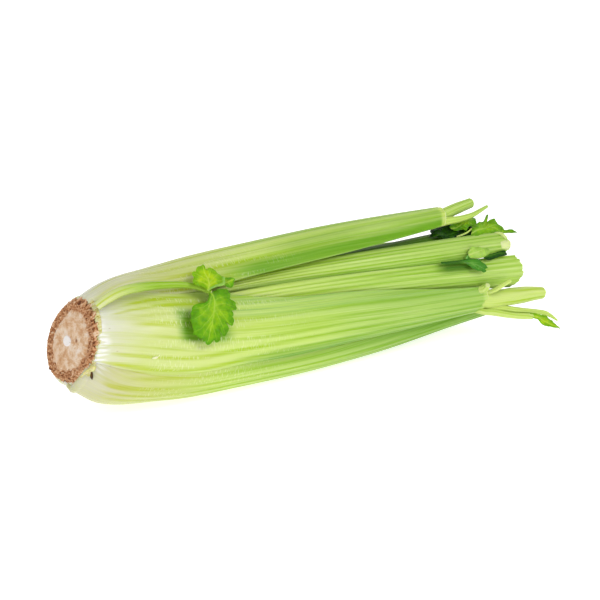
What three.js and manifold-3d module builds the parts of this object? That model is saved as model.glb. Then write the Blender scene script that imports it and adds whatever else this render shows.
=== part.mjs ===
// Head of celery lying on its side, trimmed at both ends.
// Millimetres, +Z up, +X from the root cut to the stalk tops, -Y is the front.
//
// Points on the plant are given as (s, reach, angle): s runs along the growth axis from the
// root cut, reach is the distance from that axis, angle is measured in degrees from the top
// of the lying head round towards the front.
import * as THREE from "three";
import Module from "manifold-3d";
import { mergeVertices } from "three/addons/utils/BufferGeometryUtils.js";

// ---------------------------------------------------------------- driving dimensions
const CROWN_RADIUS = 25.2; // root cut disc
const CROWN_AT = 4.5; // distance along of the cut face
const CUT_RISE = 19; // degrees the cut face looks upward
const CUT_FRONT = 2; // degrees the cut face looks to the front
const CUT_LIFT = 4.5; // centre of the cut face above the growth axis
const CUT_FADE = 78; // distance over which the slant of the base dies out
const REST_PITCH = 0.2; // degrees the axis dips towards the tops when the head lies
const REST_ROLL = 1.2; // degrees of roll about the growth axis
const EDGE = 1.6; // thickness of a stalk at its two edges

// Stations shared by the stalks of a ring (the last station is each stalk's own tip), and
// the number of facets across and along a stalk.
const OUTER_RING = { at: [10.5, 24, 60, 110, 180], across: 8, lengthwise: 14 };
const INNER_RING = { at: [30, 60, 110, 180], across: 6, lengthwise: 12 };
const HEART_RING = { at: [46, 80, 120, 170], across: 6, lengthwise: 9 };

// angle, reach, width (half the arc), bend (radius across), thick: one value per station + tip.
// tuck turns the section so that one edge lies over the next stalk and the other one under.
const OUTER = {
  outer_stalk_top: {
    tip: 264,
    angle: [-19.5, -13.5, 0.5, 10, 12.5, 14.5],
    reach: [25.4, 32, 40, 45, 48.4, 48.8],
    width: [16.3, 19.5, 25.3, 22, 19.5, 12.6],
    bend: [25.4, 30, 38, 30, 20, 10.5],
    thick: [4.5, 6, 7.5, 8.5, 8.5, 8],
    tuck: [-4, -4, -4, -4, -4, -4],
  },
  outer_stalk_front: {
    tip: 285,
    angle: [60, 66, 76, 86.5, 94, 109],
    reach: [25.4, 33, 41, 42.7, 42.6, 38.8],
    width: [16.3, 20.5, 26.3, 22, 19.6, 14.8],
    bend: [25.4, 31, 39, 32, 24, 16],
    thick: [4.5, 6, 7.5, 6.5, 5.5, 6],
    tuck: [-6, -6, -6, -3, 0, 2],
  },
  outer_stalk_front_low: {
    tip: 298,
    angle: [131, 135.5, 143, 147, 149, 144],
    reach: [25.4, 36, 41.2, 43.2, 43.4, 35.2],
    width: [16.3, 19.5, 24.5, 20.6, 17.4, 8.5],
    bend: [25.4, 31, 38, 30, 22, 11],
    thick: [4.5, 6, 7.5, 8.5, 8, 6],
    tuck: [-4, -4, -4, -4, -4, -4],
  },
  outer_stalk_back_low: {
    tip: 300,
    angle: [202.3, 206.3, 211, 211.5, 211, 210],
    reach: [25.4, 35.8, 41.6, 44.5, 45.7, 40.2],
    width: [16, 19, 24, 21, 17, 12],
    bend: [25.4, 31, 38, 30, 22, 15],
    thick: [4.5, 6, 7.5, 8.5, 8.5, 8],
    tuck: [-4, -4, -3, 0, 0, 0],
  },
  outer_stalk_back: {
    tip: 278,
    angle: [270.8, 274.8, 281.5, 282, 278, 275],
    reach: [25.4, 31.5, 39.5, 42, 39.5, 35.5],
    width: [14.9, 17.8, 23.6, 21, 16, 10],
    bend: [25.4, 30, 38, 30, 22, 12],
    thick: [4.5, 6, 7.5, 8.5, 8.5, 8],
    tuck: [-4, -4, -4, -4, -4, -4],
  },
};

const INNER = {
  inner_stalk_upper: {
    tip: 304,
    angle: [24, 26, 31.7, 39.8, 51.3],
    reach: [22, 28, 34, 38.3, 40.2],
    width: [6, 5.2, 5.2, 7.1, 8.6],
    bend: [14, 14, 13, 12, 10],
    thick: [3.5, 5, 5.5, 6, 6.5],
    tuck: [-6, -2, 2, 5, 5],
  },
  inner_stalk_front: {
    tip: 314.5,
    angle: [59.5, 57, 58, 64.6, 82.6],
    reach: [20, 28, 35.4, 37.5, 35.3],
    width: [7, 8.9, 8.7, 9.2, 10.6],
    bend: [14, 16, 15, 14, 14],
    thick: [3.5, 5, 5, 5, 5.6],
    tuck: [4, 6, 11, 13, 8],
  },
  inner_stalk_front_low: {
    tip: 282,
    angle: [115, 117, 119, 121, 120],
    reach: [22, 30, 31, 31, 28.2],
    width: [7, 11, 13, 12, 8.8],
    bend: [14, 18, 18, 15, 11],
    thick: [3.5, 6, 7.5, 8, 7],
    tuck: [0, 0, 0, 0, 0],
  },
  inner_stalk_under: {
    tip: 294,
    angle: [178, 180, 180, 180, 179],
    reach: [22, 30, 32.5, 34, 32],
    width: [7, 11, 13, 12, 10],
    bend: [14, 18, 18, 14, 12],
    thick: [3.5, 6, 7.5, 8, 7],
    tuck: [0, 0, 0, 0, 0],
  },
  inner_stalk_back_low: {
    tip: 288,
    angle: [247, 247, 245, 243, 243],
    reach: [22, 30, 31.5, 31.5, 31],
    width: [7, 11, 12.5, 11.5, 10],
    bend: [14, 18, 18, 15, 12],
    thick: [3.5, 6, 7.5, 8, 7],
    tuck: [0, 0, 0, 0, 0],
  },
  inner_stalk_back: {
    tip: 292,
    angle: [322, 325, 325, 317, 314],
    reach: [22, 29, 29.5, 26.8, 23],
    width: [7, 11, 12, 10.5, 9],
    bend: [14, 18, 17, 13, 11],
    thick: [3.5, 5.5, 6.5, 7, 6],
    tuck: [0, 0, 0, 0, 0],
  },
};

const HEART = {
  heart_stalk_top: {
    tip: 272,
    angle: [22, 20, 18, 22, 24],
    reach: [12, 20, 25, 30, 32],
    width: [5, 8, 9, 8, 6.5],
    bend: [8, 12, 14, 12, 9],
    thick: [3, 5, 6.5, 7, 6],
    tuck: [0, 0, 0, 0, 0],
  },
  heart_stalk_front: {
    tip: 252,
    angle: [128, 130, 134, 140, 150],
    reach: [12, 19, 20.5, 20.5, 19],
    width: [5, 8.5, 10, 9, 7],
    bend: [8, 12, 13, 11, 8],
    thick: [3, 5, 6.5, 7, 6],
    tuck: [0, 0, 0, 0, 0],
  },
  heart_stalk_under: {
    tip: 243,
    angle: [205, 208, 212, 216, 220],
    reach: [12, 19, 20.5, 21, 20],
    width: [5, 8.5, 10, 9, 7],
    bend: [8, 12, 13, 11, 8],
    thick: [3, 5, 6.5, 7, 6],
    tuck: [0, 0, 0, 0, 0],
  },
  heart_stalk_back: {
    tip: 262,
    angle: [285, 286, 286, 286, 284],
    reach: [12, 18, 18.5, 18.5, 18],
    width: [5, 8, 9, 8.5, 7],
    bend: [8, 12, 13, 11, 8],
    thick: [3, 5, 6.5, 7, 6],
    tuck: [0, 0, 0, 0, 0],
  },
};

// Round stems: [s, reach, angle, radius] at points along the stem.
const STEM_SIDES = 8;
const STEMS = {
  thick_stub: [[254, 41.5, 14.2, 4], [264, 44, 15.2, 3.9], [277, 45, 11.7, 3.6], [291, 46, 8.7, 3.3]],
  thin_stub: [[256, 42.5, 21.4, 2.6], [265, 43.5, 22.6, 2.5], [284, 44, 22.2, 1.7], [302, 44, 14.8, 1]],
  thick_petiole: [[276, 32, 105, 4.8], [298, 36, 111, 5.6], [316, 36.5, 113.2, 5.2], [334, 36.5, 116.8, 4]],
  high_petiole: [
    [282, 32, 116.5, 2.4], [292, 38, 117.4, 2.2], [307, 43, 119.8, 1.9], [327, 47, 124, 1.6], [339, 54.5, 127, 0.7],
  ],
  low_petiole: [[279, 34, 121, 2.3], [289, 40, 120.6, 2.2], [305, 46.3, 121.8, 1.9], [319.5, 50, 123.2, 1.6]],
  spur: [[284, 35, 102, 1.6], [289, 40, 95, 1.6], [294, 42, 90.5, 1.4], [299, 42, 88.1, 1.2]],
  knob: [[278, 36, 95, 2.2], [281, 40, 90.5, 2.2]],
};
const SPROUT_STEM = [
  [8, 28.6, 30.5, 2.3],
  [12, 33.5, 30.5, 2.5],
  [20, 39.8, 31.5, 2.3],
  [35, 43.5, 32.8, 2],
  [52, 45.2, 34, 1.75],
  [68, 46, 37.2, 1.6],
  [75, 47, 41.5, 1.5],
  [79.5, 47.6, 45.5, 1.4],
];

// Leaves: foot of the blade (s, reach, angle), slope and bow of the blade away from the
// plant, ruffle of the rim, and the rim itself as [heading, distance] seen from the foot.
// Heading 0 runs towards the tops, 90 down the front; on a blade that stands away from the
// plant 90 is straight out.
const LEAF_RINGS = 4;
const LEAF_THICK = 0.4;
const LEAVES = {
  sprout_leaf_large: {
    foot: [79.5, 48.4, 47],
    slope: 0,
    bow: 0,
    ruffle: 0.5,
    rim: [
      [0, 14], [14, 14], [26, 16], [37, 20], [50, 18.5], [66, 24], [74, 20.5], [84, 26.6], [89, 24.5],
      [95, 29.8], [99, 28.5], [105, 31.3], [113, 29], [123, 28.4], [132, 26.5], [144, 21.6], [160, 14],
      [150, 9], [140, 7],
    ],
  },
  sprout_leaf_curled: {
    foot: [79.5, 48.2, 42],
    slope: 3,
    bow: 0,
    ruffle: 1,
    rim: [
      [-170, 10], [-166, 10.8], [-156, 10], [-147, 9.5], [-142, 10.8], [-122, 11], [-110, 11], [-99, 11.6],
      [-83, 11.9], [-78, 9.8], [-64, 10.4], [-51, 10.7], [-33, 10.1], [-13, 10.8], [5, 9.8], [15, 9.5],
    ],
  },
  sprout_leaf_small: {
    foot: [89.5, 46.8, 43.3],
    slope: 0.5,
    bow: 0,
    ruffle: 0.6,
    rim: [[-60, 3], [-45, 5.5], [-33, 7.5], [-20, 8], [-10, 11], [0, 10], [10, 8], [20, 7], [40, 4.5], [60, 2.5]],
  },
  heart_leaf_dark: {
    foot: [257, 34, 26],
    slope: 0,
    bow: 0,
    ruffle: 0.6,
    rim: [
      [-60, 4], [-35, 9], [-22, 13], [-14, 16], [-9, 15.5], [-4, 19], [0, 18], [5, 21], [12, 18], [18, 12],
      [40, 6],
    ],
  },
  heart_leaf_middle: {
    foot: [270, 35, 30],
    slope: 1.5,
    bow: 0,
    ruffle: 0.8,
    rim: [
      [-60, 6], [-45, 9], [-32, 12], [-26, 17], [-19, 23], [-14, 21], [-9, 22], [-2, 17], [6, 18], [14, 12],
      [30, 7],
    ],
  },
  heart_leaf_bright: {
    foot: [282, 37.3, 33],
    slope: 2.5,
    bow: 0,
    ruffle: 0.9,
    rim: [
      [-50, 8], [-36, 14], [-29, 16], [-27, 25], [-20, 21.5], [-14, 25.5], [-8, 24], [-3, 25], [2, 27],
      [8, 35], [12, 28], [14, 20], [24, 10],
    ],
  },
  inner_leaf_dark: {
    foot: [249, 39.6, 61.5],
    slope: 1,
    bow: 0.6,
    ruffle: 0.3,
    rim: [[2, 12], [4, 20], [8, 27], [11, 31], [13, 34.5], [15, 32], [17, 33], [20, 30.5], [22, 24], [25, 12]],
  },
  inner_leaf_light: {
    foot: [267, 40.6, 59.5],
    slope: 1.6,
    bow: -0.4,
    ruffle: 0.2,
    rim: [
      [-58, 3.5], [-49, 6], [-41, 8.5], [-28, 11.5], [-18, 14.5], [-8, 18.8], [-1, 20], [5, 16], [12, 11], [22, 5.5],
    ],
  },
  petiole_leaf_tip: {
    foot: [321.2, 50.6, 123.4],
    stands: true,
    slope: 0.3,
    bow: 0,
    ruffle: 0.2,
    rim: [
      [-15, 4], [-3, 6], [9, 8], [20, 10], [31, 11.7], [37, 13.6], [42, 16], [47, 18.5], [50, 16.4], [53, 14.4],
      [59, 12], [69, 10.2], [77, 8.9], [84, 6], [95, 3],
    ],
  },
};

// ---------------------------------------------------------------- small helpers
const RAD = Math.PI / 180;
const wasm = await Module();
wasm.setup();

// Smooth curve through the values given at the stations, evaluated at s.
function along(stations, values, s) {
  return new THREE.CubicInterpolant(stations, values, 1).evaluate(s)[0];
}

// Slant of the base: the whole foot of the plant leans with the oblique root cut.
function lean(point) {
  const fade = 1 - THREE.MathUtils.smoothstep(point.x, 4, CUT_FADE);
  const slope = Math.tan(CUT_RISE * RAD) * point.z - Math.tan(CUT_FRONT * RAD) * point.y;
  point.x += fade * slope;
  point.z += fade * CUT_LIFT;
  return point;
}

// Point of the plant from its distance along, reach and angle.
function onPlant(s, reach, angle) {
  const a = angle * RAD;
  return lean(new THREE.Vector3(s, -reach * Math.sin(a), reach * Math.cos(a)));
}

// Closed body through a row of closed loops that all have the same even number of points.
function bodyFromLoops(loops) {
  const count = loops[0].length;
  const positions = loops.flat().flatMap((p) => [p.x, p.y, p.z]);
  const faces = [];
  for (let i = 0; i + 1 < loops.length; i += 1) {
    for (let j = 0; j < count; j += 1) {
      const k = (j + 1) % count;
      faces.push(i * count + j, (i + 1) * count + k, (i + 1) * count + j);
      faces.push(i * count + j, i * count + k, (i + 1) * count + k);
    }
  }
  const last = (loops.length - 1) * count;
  for (let j = 0; j < count / 2 - 1; j += 1) {
    const quad = [j, j + 1, count - 2 - j, count - 1 - j];
    faces.push(quad[2], quad[1], quad[0], quad[3], quad[2], quad[0]);
    faces.push(last + quad[0], last + quad[1], last + quad[2]);
    faces.push(last + quad[0], last + quad[2], last + quad[3]);
  }
  const geometry = new THREE.BufferGeometry();
  geometry.setAttribute("position", new THREE.Float32BufferAttribute(positions, 3));
  geometry.setIndex(faces);
  return geometry;
}

// ---------------------------------------------------------------- stalks
// Crescent cross section of a stalk in the plane square to the growth axis.
function stalkSection(s, shape, across) {
  const tilt = (shape.angle + shape.tuck) * RAD;
  const angle = shape.angle * RAD;
  const middle = shape.reach;
  const outward = new THREE.Vector2(Math.sin(tilt), Math.cos(tilt));
  const sideways = new THREE.Vector2(Math.cos(tilt), -Math.sin(tilt));
  const apex = new THREE.Vector2(Math.sin(angle), Math.cos(angle)).multiplyScalar(middle);
  const centre = apex.clone().addScaledVector(outward, -shape.bend);
  const outer = [];
  const inner = [];
  for (let j = 0; j <= across; j += 1) {
    const t = (2 * j) / across - 1;
    const turn = (t * shape.width) / shape.bend;
    const fullness = (1 - Math.abs(t) ** 3) ** 0.75;
    const depth = EDGE + (shape.thick - EDGE) * fullness;
    const ray = outward.clone().multiplyScalar(Math.cos(turn));
    ray.addScaledVector(sideways, Math.sin(turn));
    outer.push(centre.clone().addScaledVector(ray, shape.bend));
    inner.push(centre.clone().addScaledVector(ray, shape.bend - depth));
  }
  const flat = outer.concat(inner.reverse());
  return flat.map((p) => lean(new THREE.Vector3(s, -p.x, p.y)));
}

function stalk(ring, design) {
  const start = ring.at[0];
  const stations = ring.at.concat(design.tip);
  const loops = [];
  for (let i = 0; i <= ring.lengthwise; i += 1) {
    const s = start + (design.tip - start) * (i / ring.lengthwise) ** 1.5;
    const shape = {
      angle: along(stations, design.angle, s),
      reach: along(stations, design.reach, s),
      width: along(stations, design.width, s),
      bend: along(stations, design.bend, s),
      thick: along(stations, design.thick, s),
      tuck: along(stations, design.tuck, s),
    };
    loops.push(stalkSection(s, shape, ring.across));
  }
  return bodyFromLoops(loops);
}

// ---------------------------------------------------------------- round stems
function stem(nodes) {
  const path = new THREE.CatmullRomCurve3(nodes.map((n) => onPlant(n[0], n[1], n[2])));
  const steps = nodes.length * 3;
  const frames = path.computeFrenetFrames(steps, false);
  const stations = nodes.map((n, i) => i);
  const radii = nodes.map((n) => n[3]);
  const loops = [];
  for (let i = 0; i <= steps; i += 1) {
    const t = i / steps;
    const centre = path.getPoint(t);
    const radius = along(stations, radii, t * (nodes.length - 1));
    const loop = [];
    for (let j = 0; j < STEM_SIDES; j += 1) {
      const turn = (2 * Math.PI * j) / STEM_SIDES;
      const point = centre.clone();
      point.addScaledVector(frames.normals[i], radius * Math.cos(turn));
      point.addScaledVector(frames.binormals[i], radius * Math.sin(turn));
      loop.push(point);
    }
    loops.push(loop);
  }
  return bodyFromLoops(loops);
}

function toSolid(geometry) {
  const bare = geometry.clone();
  bare.deleteAttribute("normal");
  bare.deleteAttribute("uv");
  const welded = mergeVertices(bare, 1e-5);
  const mesh = new wasm.Mesh({
    numProp: 3,
    vertProperties: new Float32Array(welded.attributes.position.array),
    triVerts: new Uint32Array(welded.index.array),
  });
  return new wasm.Manifold(mesh);
}

function toGeometry(solid) {
  const mesh = solid.getMesh();
  const geometry = new THREE.BufferGeometry();
  geometry.setAttribute("position", new THREE.BufferAttribute(mesh.vertProperties, 3));
  geometry.setIndex(new THREE.BufferAttribute(mesh.triVerts, 1));
  return geometry;
}

// Stalk that forks into stems at its top node.
function forked(body, names) {
  let solid = toSolid(body);
  for (const name of names) {
    solid = solid.add(toSolid(stem(STEMS[name])));
  }
  return toGeometry(solid);
}

// ---------------------------------------------------------------- crown
// Root cut disc, its short side wall and the cone inside the stalk bases.
function crown() {
  const profile = [
    [CROWN_AT + 0.4, 2],
    [CROWN_AT + 0.2, 12],
    [CROWN_AT, 20],
    [CROWN_AT + 0.3, CROWN_RADIUS - 0.8],
    [CROWN_AT + 1.5, CROWN_RADIUS],
    [CROWN_AT + 5.3, CROWN_RADIUS + 0.2],
    [CROWN_AT + 5.5, 20.2],
    [18, 18.5],
    [27, 16.5],
    [40, 7],
    [44, 1],
  ];
  const sides = 28;
  const loops = profile.map(([s, reach]) => {
    const loop = [];
    for (let j = 0; j < sides; j += 1) {
      loop.push(onPlant(s, reach, (360 * j) / sides));
    }
    return loop;
  });
  return bodyFromLoops(loops);
}

// ---------------------------------------------------------------- leaves
// Point of a blade on the ray towards one rim point, q = 0 at the foot and 1 at the rim;
// side is +1 for the upper face and -1 for the lower one.
function leafPoint(leaf, ray, q, side) {
  const [s, reach, angle] = leaf.foot;
  const [heading, distance] = leaf.rim[ray];
  const out = distance * q;
  const wave = leaf.ruffle * q * q * (ray % 2 ? 1 : -1);
  const height = leaf.slope * q + leaf.bow * q * q + wave + side * LEAF_THICK * (1 - 0.4 * q);
  const forth = out * Math.cos(heading * RAD);
  const aside = out * Math.sin(heading * RAD);
  if (leaf.stands) {
    return onPlant(s + forth, reach + aside, angle - height / reach / RAD);
  }
  return onPlant(s + forth, reach + height, angle + aside / reach / RAD);
}

function blade(leaf) {
  const loops = [];
  for (let i = 0; i <= LEAF_RINGS; i += 1) {
    const q = 0.05 + (0.95 * i) / LEAF_RINGS;
    const upper = leaf.rim.map((_, ray) => leafPoint(leaf, ray, q, 1));
    const lower = leaf.rim.map((_, ray) => leafPoint(leaf, ray, q, -1));
    loops.push(upper.concat(lower.reverse()));
  }
  return bodyFromLoops(loops);
}

// ---------------------------------------------------------------- assembly
const COLOURS = {
  crown: 0xb98a63,
  outer: 0xb4d36a,
  inner: 0xa3cb5c,
  heart: 0xc4dd84,
  sprout: 0xa9c93a,
  leaf: 0x6fae2c,
};

const group = new THREE.Group();
group.name = "head_of_celery";

function place(name, geometry, colour) {
  const pose = new THREE.Matrix4().makeRotationY(REST_PITCH * RAD);
  pose.multiply(new THREE.Matrix4().makeRotationX(REST_ROLL * RAD));
  const placed = geometry.index ? geometry.toNonIndexed() : geometry;
  placed.applyMatrix4(pose);
  placed.computeVertexNormals();
  const mesh = new THREE.Mesh(placed, new THREE.MeshStandardMaterial({ color: colour, roughness: 0.5 }));
  mesh.name = name;
  group.add(mesh);
}

place("root_crown", crown(), COLOURS.crown);
for (const [name, design] of Object.entries(OUTER)) {
  const body = stalk(OUTER_RING, design);
  if (name === "outer_stalk_top") {
    place(name, forked(body, ["thick_stub", "thin_stub"]), COLOURS.outer);
  } else if (name === "outer_stalk_front") {
    place(name, forked(body, ["thick_petiole", "high_petiole", "low_petiole", "spur", "knob"]), COLOURS.outer);
  } else {
    place(name, body, COLOURS.outer);
  }
}
for (const [name, design] of Object.entries(INNER)) {
  place(name, stalk(INNER_RING, design), COLOURS.inner);
}
for (const [name, design] of Object.entries(HEART)) {
  place(name, stalk(HEART_RING, design), COLOURS.heart);
}
place("sprout_stem", stem(SPROUT_STEM), COLOURS.sprout);
for (const [name, leaf] of Object.entries(LEAVES)) {
  place(name, blade(leaf), COLOURS.leaf);
}

// The head stands on z = 0, centred over the origin.
const box = new THREE.Box3().setFromObject(group);
const shift = box.getCenter(new THREE.Vector3());
for (const mesh of group.children) {
  mesh.geometry.translate(-shift.x, -shift.y, -box.min.z);
}

export default group;
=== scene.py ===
# %% [markdown]
# # A head of celery, lying on its side
# The head is a root cut (the crown), three rings of stalks that grow out of it, the stubs
# and petioles left where the two longest stalks were trimmed, a thin sprout with a leaf at
# the front, and a few leaves between the tops. The plain solids come in as a fixed frame.
# They carry the size and the place of every piece. The lesson builds a finely ribbed, veined
# or torn surface over each solid, in the same place, and gives it a finish made of nodes.
# A few small scraps, such as torn skin at the root, have no solid and are made only here.

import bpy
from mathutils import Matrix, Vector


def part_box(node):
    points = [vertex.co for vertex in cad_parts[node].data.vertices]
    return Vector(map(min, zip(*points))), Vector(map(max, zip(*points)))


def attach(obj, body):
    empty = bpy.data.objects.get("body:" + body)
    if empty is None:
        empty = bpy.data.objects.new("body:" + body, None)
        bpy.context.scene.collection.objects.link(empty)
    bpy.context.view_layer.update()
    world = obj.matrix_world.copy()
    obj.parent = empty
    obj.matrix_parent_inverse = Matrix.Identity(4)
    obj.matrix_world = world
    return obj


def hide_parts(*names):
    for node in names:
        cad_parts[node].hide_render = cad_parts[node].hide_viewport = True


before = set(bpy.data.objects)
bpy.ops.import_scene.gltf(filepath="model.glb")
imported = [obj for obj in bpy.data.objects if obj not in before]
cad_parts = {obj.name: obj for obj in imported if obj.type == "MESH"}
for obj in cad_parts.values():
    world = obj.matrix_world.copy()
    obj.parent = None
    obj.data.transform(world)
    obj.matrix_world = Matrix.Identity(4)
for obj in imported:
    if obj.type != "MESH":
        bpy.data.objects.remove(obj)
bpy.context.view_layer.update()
print("solids in the frame:", len(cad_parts))

# %% [markdown]
# ## Where things are on a plant
# A plant is easier to think about round its own axis than in x, y and z. A point is given
# as (s, reach, angle): how far along from the root, how far out, and which way round, with
# 0 at the top and 90 at the front. `lean` adds the slant of the root cut, which fades out
# towards the stalks. Working in numpy arrays moves a whole grid of points in one call.

# %% Plant coordinates
import math

import bpy
import numpy as np

CUT_RISE = math.radians(19)  # the root cut looks this far upward
CUT_FRONT = math.radians(2)  # and this far to the front
CUT_LIFT = 4.5  # millimetres that its centre sits above the axis
CUT_AT = 4.5  # and along from the start
LEAN_FULL = 4.0  # the slant is whole up to here
LEAN_GONE = 78.0  # and gone from here


def smooth(x, low, high):
    """0 below low, 1 above high, and a soft rise between."""
    t = np.clip((np.asarray(x, float) - low) / (high - low), 0, 1)
    return t * t * (3 - 2 * t)


def lean(points):
    """Slants the foot of the plant: the cut looks upward, and sits above the axis."""
    x, y, z = points[..., 0], points[..., 1], points[..., 2]
    fade = 1 - smooth(x, LEAN_FULL, LEAN_GONE)
    slope = math.tan(CUT_RISE) * z - math.tan(CUT_FRONT) * y
    return np.stack([x + fade * slope, y, z + fade * CUT_LIFT], axis=-1)


def on_plant(s, reach, angle):
    """Points of the plant from distance along, reach and angle, in millimetres."""
    s, reach, angle = np.broadcast_arrays(*[np.asarray(v, float) for v in (s, reach, angle)])
    turn = np.radians(angle)
    return lean(np.stack([s, -reach * np.sin(turn), reach * np.cos(turn)], axis=-1))


print("centre of the root cut:", on_plant(CUT_AT, 0, 0).round(1))

# %% [markdown]
# ## From the plant to the table
# The head rolls and dips a little where it comes to rest. The two small turns are the same
# as the solids have. The last step, the shift to the middle of the part, is found by making
# the crown's own outline here and laying it on the box of the crown's solid, so every piece
# lands exactly where its solid is.

# %% Rest pose and shift
REST_PITCH = math.radians(0.2)
REST_ROLL = math.radians(1.2)
MM = 0.001
CROWN_SIDES = 28
CROWN_PROFILE = [
    (4.9, 2), (4.7, 12), (4.5, 20), (4.8, 24.4), (6, 25.2), (9.8, 25.4),
    (10, 20.2), (18, 18.5), (27, 16.5), (40, 7), (44, 1),
]


def lie_down(points):
    """Turns plant points to the pose the head rests in."""
    x, y, z = points[..., 0], points[..., 1], points[..., 2]
    cr, sr = math.cos(REST_ROLL), math.sin(REST_ROLL)
    y, z = y * cr - z * sr, y * sr + z * cr
    cp, sp = math.cos(REST_PITCH), math.sin(REST_PITCH)
    return np.stack([x * cp + z * sp, y, z * cp - x * sp], axis=-1)


around = np.arange(CROWN_SIDES) * 360 / CROWN_SIDES
crown_outline = np.concatenate([on_plant(s, r, around) for s, r in CROWN_PROFILE])
crown_low, crown_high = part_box("root_crown")
SHIFT = np.array(crown_low) / MM - lie_down(crown_outline).min(axis=0)


def on_table(points):
    """Plant points in millimetres to the frame, in metres."""
    return (lie_down(points) + SHIFT) * MM


slack = np.array(crown_high) / MM - (lie_down(crown_outline) + SHIFT).max(axis=0)
print("shift:", SHIFT.round(2), " crown fits its solid within", abs(slack).max().round(3), "mm")

# %% [markdown]
# ## Smooth values
# Each stalk is described at a few stations along it, because a few numbers are easy to read
# and to correct. `through` runs a smooth curve through those values. It is the same curve
# that the solids use, so the surface made here follows them.

# %% Curves
def through(stations, values, s):
    """Smooth curve through values given at stations, read at s."""
    st, val = np.asarray(stations, float), np.asarray(values, float)
    s = np.clip(np.asarray(s, float), st[0], st[-1])
    i = np.clip(np.searchsorted(st, s, side="right"), 1, len(st) - 1)
    t0, t1, v0, v1 = st[i - 1], st[i], val[i - 1], val[i]
    first, final = i == 1, i == len(st) - 1
    before, after = np.maximum(i - 2, 0), np.minimum(i + 1, len(st) - 1)
    t_before, v_before = np.where(first, t1, st[before]), np.where(first, v1, val[before])
    t_after, v_after = np.where(final, t0, st[after]), np.where(final, v0, val[after])
    half = (t1 - t0) / 2
    wb, wa = half / (t0 - t_before), half / (t_after - t1)
    p = (s - t0) / (t1 - t0)
    kb = wb * (-p**3 + 2 * p**2 - p)
    k0 = (1 + wb) * p**3 + (-1.5 - 2 * wb) * p**2 + (-0.5 + wb) * p + 1
    k1 = (-1 - wa) * p**3 + (1.5 + wa) * p**2 + 0.5 * p
    ka = wa * (p**3 - p**2)
    return kb * v_before + k0 * v0 + k1 * v1 + ka * v_after


print("curve check:", round(float(through([0, 1, 3], [0, 2, 3], 2.0)), 3))

# %% [markdown]
# ## Steady noise
# Natural surfaces need irregularity, but it has to come out the same every time. `dice` mixes
# the bits of whole numbers into one that looks random and never changes. `grain` is a value
# noise made of it: random heights on a grid, blended softly between. Blender's own noise
# textures do this in a material, but the mesh needs its noise in code.

# %% Noise
def dice(*whole, seed=0):
    """A steady random number from 0 to 1 for each set of whole numbers."""
    mixed = np.uint64(seed * 7919 + 12345)
    for k, w in enumerate(whole):
        part = (np.asarray(w).astype(np.int64) + 100003).astype(np.uint64)
        mixed = (mixed ^ (part * np.uint64(0x9E3779B97F4A7C15 + 2 * k))) * np.uint64(0xBF58476D1CE4E5B9)
        mixed = mixed ^ (mixed >> np.uint64(29))
    return (mixed >> np.uint64(40)).astype(float) / 2.0**24


def grain(x, y, z=0.0, seed=0):
    """Value noise from -1 to 1; one unit is one bump."""
    x, y, z = np.broadcast_arrays(*[np.asarray(v, float) for v in (x, y, z)])
    cell = [np.floor(v) for v in (x, y, z)]
    ease = [(v - c) ** 2 * (3 - 2 * (v - c)) for v, c in zip((x, y, z), cell)]
    total = 0
    for corner in range(8):
        step = [(corner >> k) & 1 for k in range(3)]
        weight = 1
        for k in range(3):
            weight = weight * (ease[k] if step[k] else 1 - ease[k])
        total = total + weight * dice(*[c + d for c, d in zip(cell, step)], seed=seed)
    return 2 * total - 1


print("noise check:", round(float(grain(0.5, 1.5)), 3))

# %% [markdown]
# ## From rows of points to a piece
# A stalk, a stem, a blade and the crown are all a row of closed loops joined into quads,
# like the hoops of a barrel. One helper turns such a stack of loops into a mesh, writes the
# named values that the materials read (attributes) at every point, hides the solids that the
# piece stands for, and hangs it on the root.

# %% Piece maker
MADE = []


def hoops_to_quads(rows, count):
    """Corner numbers of the quads between rows of points."""
    i, j = np.meshgrid(np.arange(rows - 1), np.arange(count), indexing="ij")
    k = (j + 1) % count
    quads = np.stack([i * count + j, i * count + k, (i + 1) * count + k, (i + 1) * count + j], -1)
    return quads.reshape(-1, 4)


def make_piece(name, points, quads, finish, values, solids=(), crease=None):
    """Adds a mesh piece from plant points; points can be a grid of any shape. crease is the
    angle, in degrees, above which an edge stays sharp."""
    flat = on_table(np.asarray(points, float).reshape(-1, 3))
    mesh = bpy.data.meshes.new(name)
    mesh.from_pydata(flat.tolist(), [], np.asarray(quads).tolist())
    mesh.validate()
    mesh.shade_smooth()
    if crease:
        mesh.set_sharp_from_angle(angle=math.radians(crease))
    for key, value in values.items():
        value = np.asarray(value, float)
        kind, label = ("FLOAT_VECTOR", "vector") if value.shape[-1:] == (3,) else ("FLOAT", "value")
        layer = mesh.attributes.new(key, kind, "POINT")
        layer.data.foreach_set(label, value.astype(np.float32).ravel())
    mesh.materials.append(finish)
    piece = bpy.data.objects.new(name, mesh)
    bpy.context.scene.collection.objects.link(piece)
    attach(piece, "root")
    if solids:
        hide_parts(*solids)
    MADE.append(piece)
    print(f"{name}: {len(mesh.polygons)} faces")
    return piece


print("piece maker ready")

# %% [markdown]
# ## Node helpers
# Materials here are node trees. The helpers below keep each one short: `node` adds a node
# and fills its sockets by name, `reading` brings in a named value from the mesh, `ramp`
# turns a value into a colour along a row of stops, and `blend` mixes two colours. `paint`
# takes a colour as it should look under the studio light and gives the linear one that the
# shader works in. The light here is a little stronger than full white, so the surface
# colour is that much darker.

# %% Colour and finish helpers
LIGHT_LEVEL = 1.25


def paint(red, green, blue):
    """Colour as seen, 0 to 255, to the linear surface colour that gives it."""
    screen = np.array([red, green, blue]) / 255
    light = np.where(screen <= 0.04045, screen / 12.92, ((screen + 0.055) / 1.055) ** 2.4)
    return (*(light / LIGHT_LEVEL).tolist(), 1.0)


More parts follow.
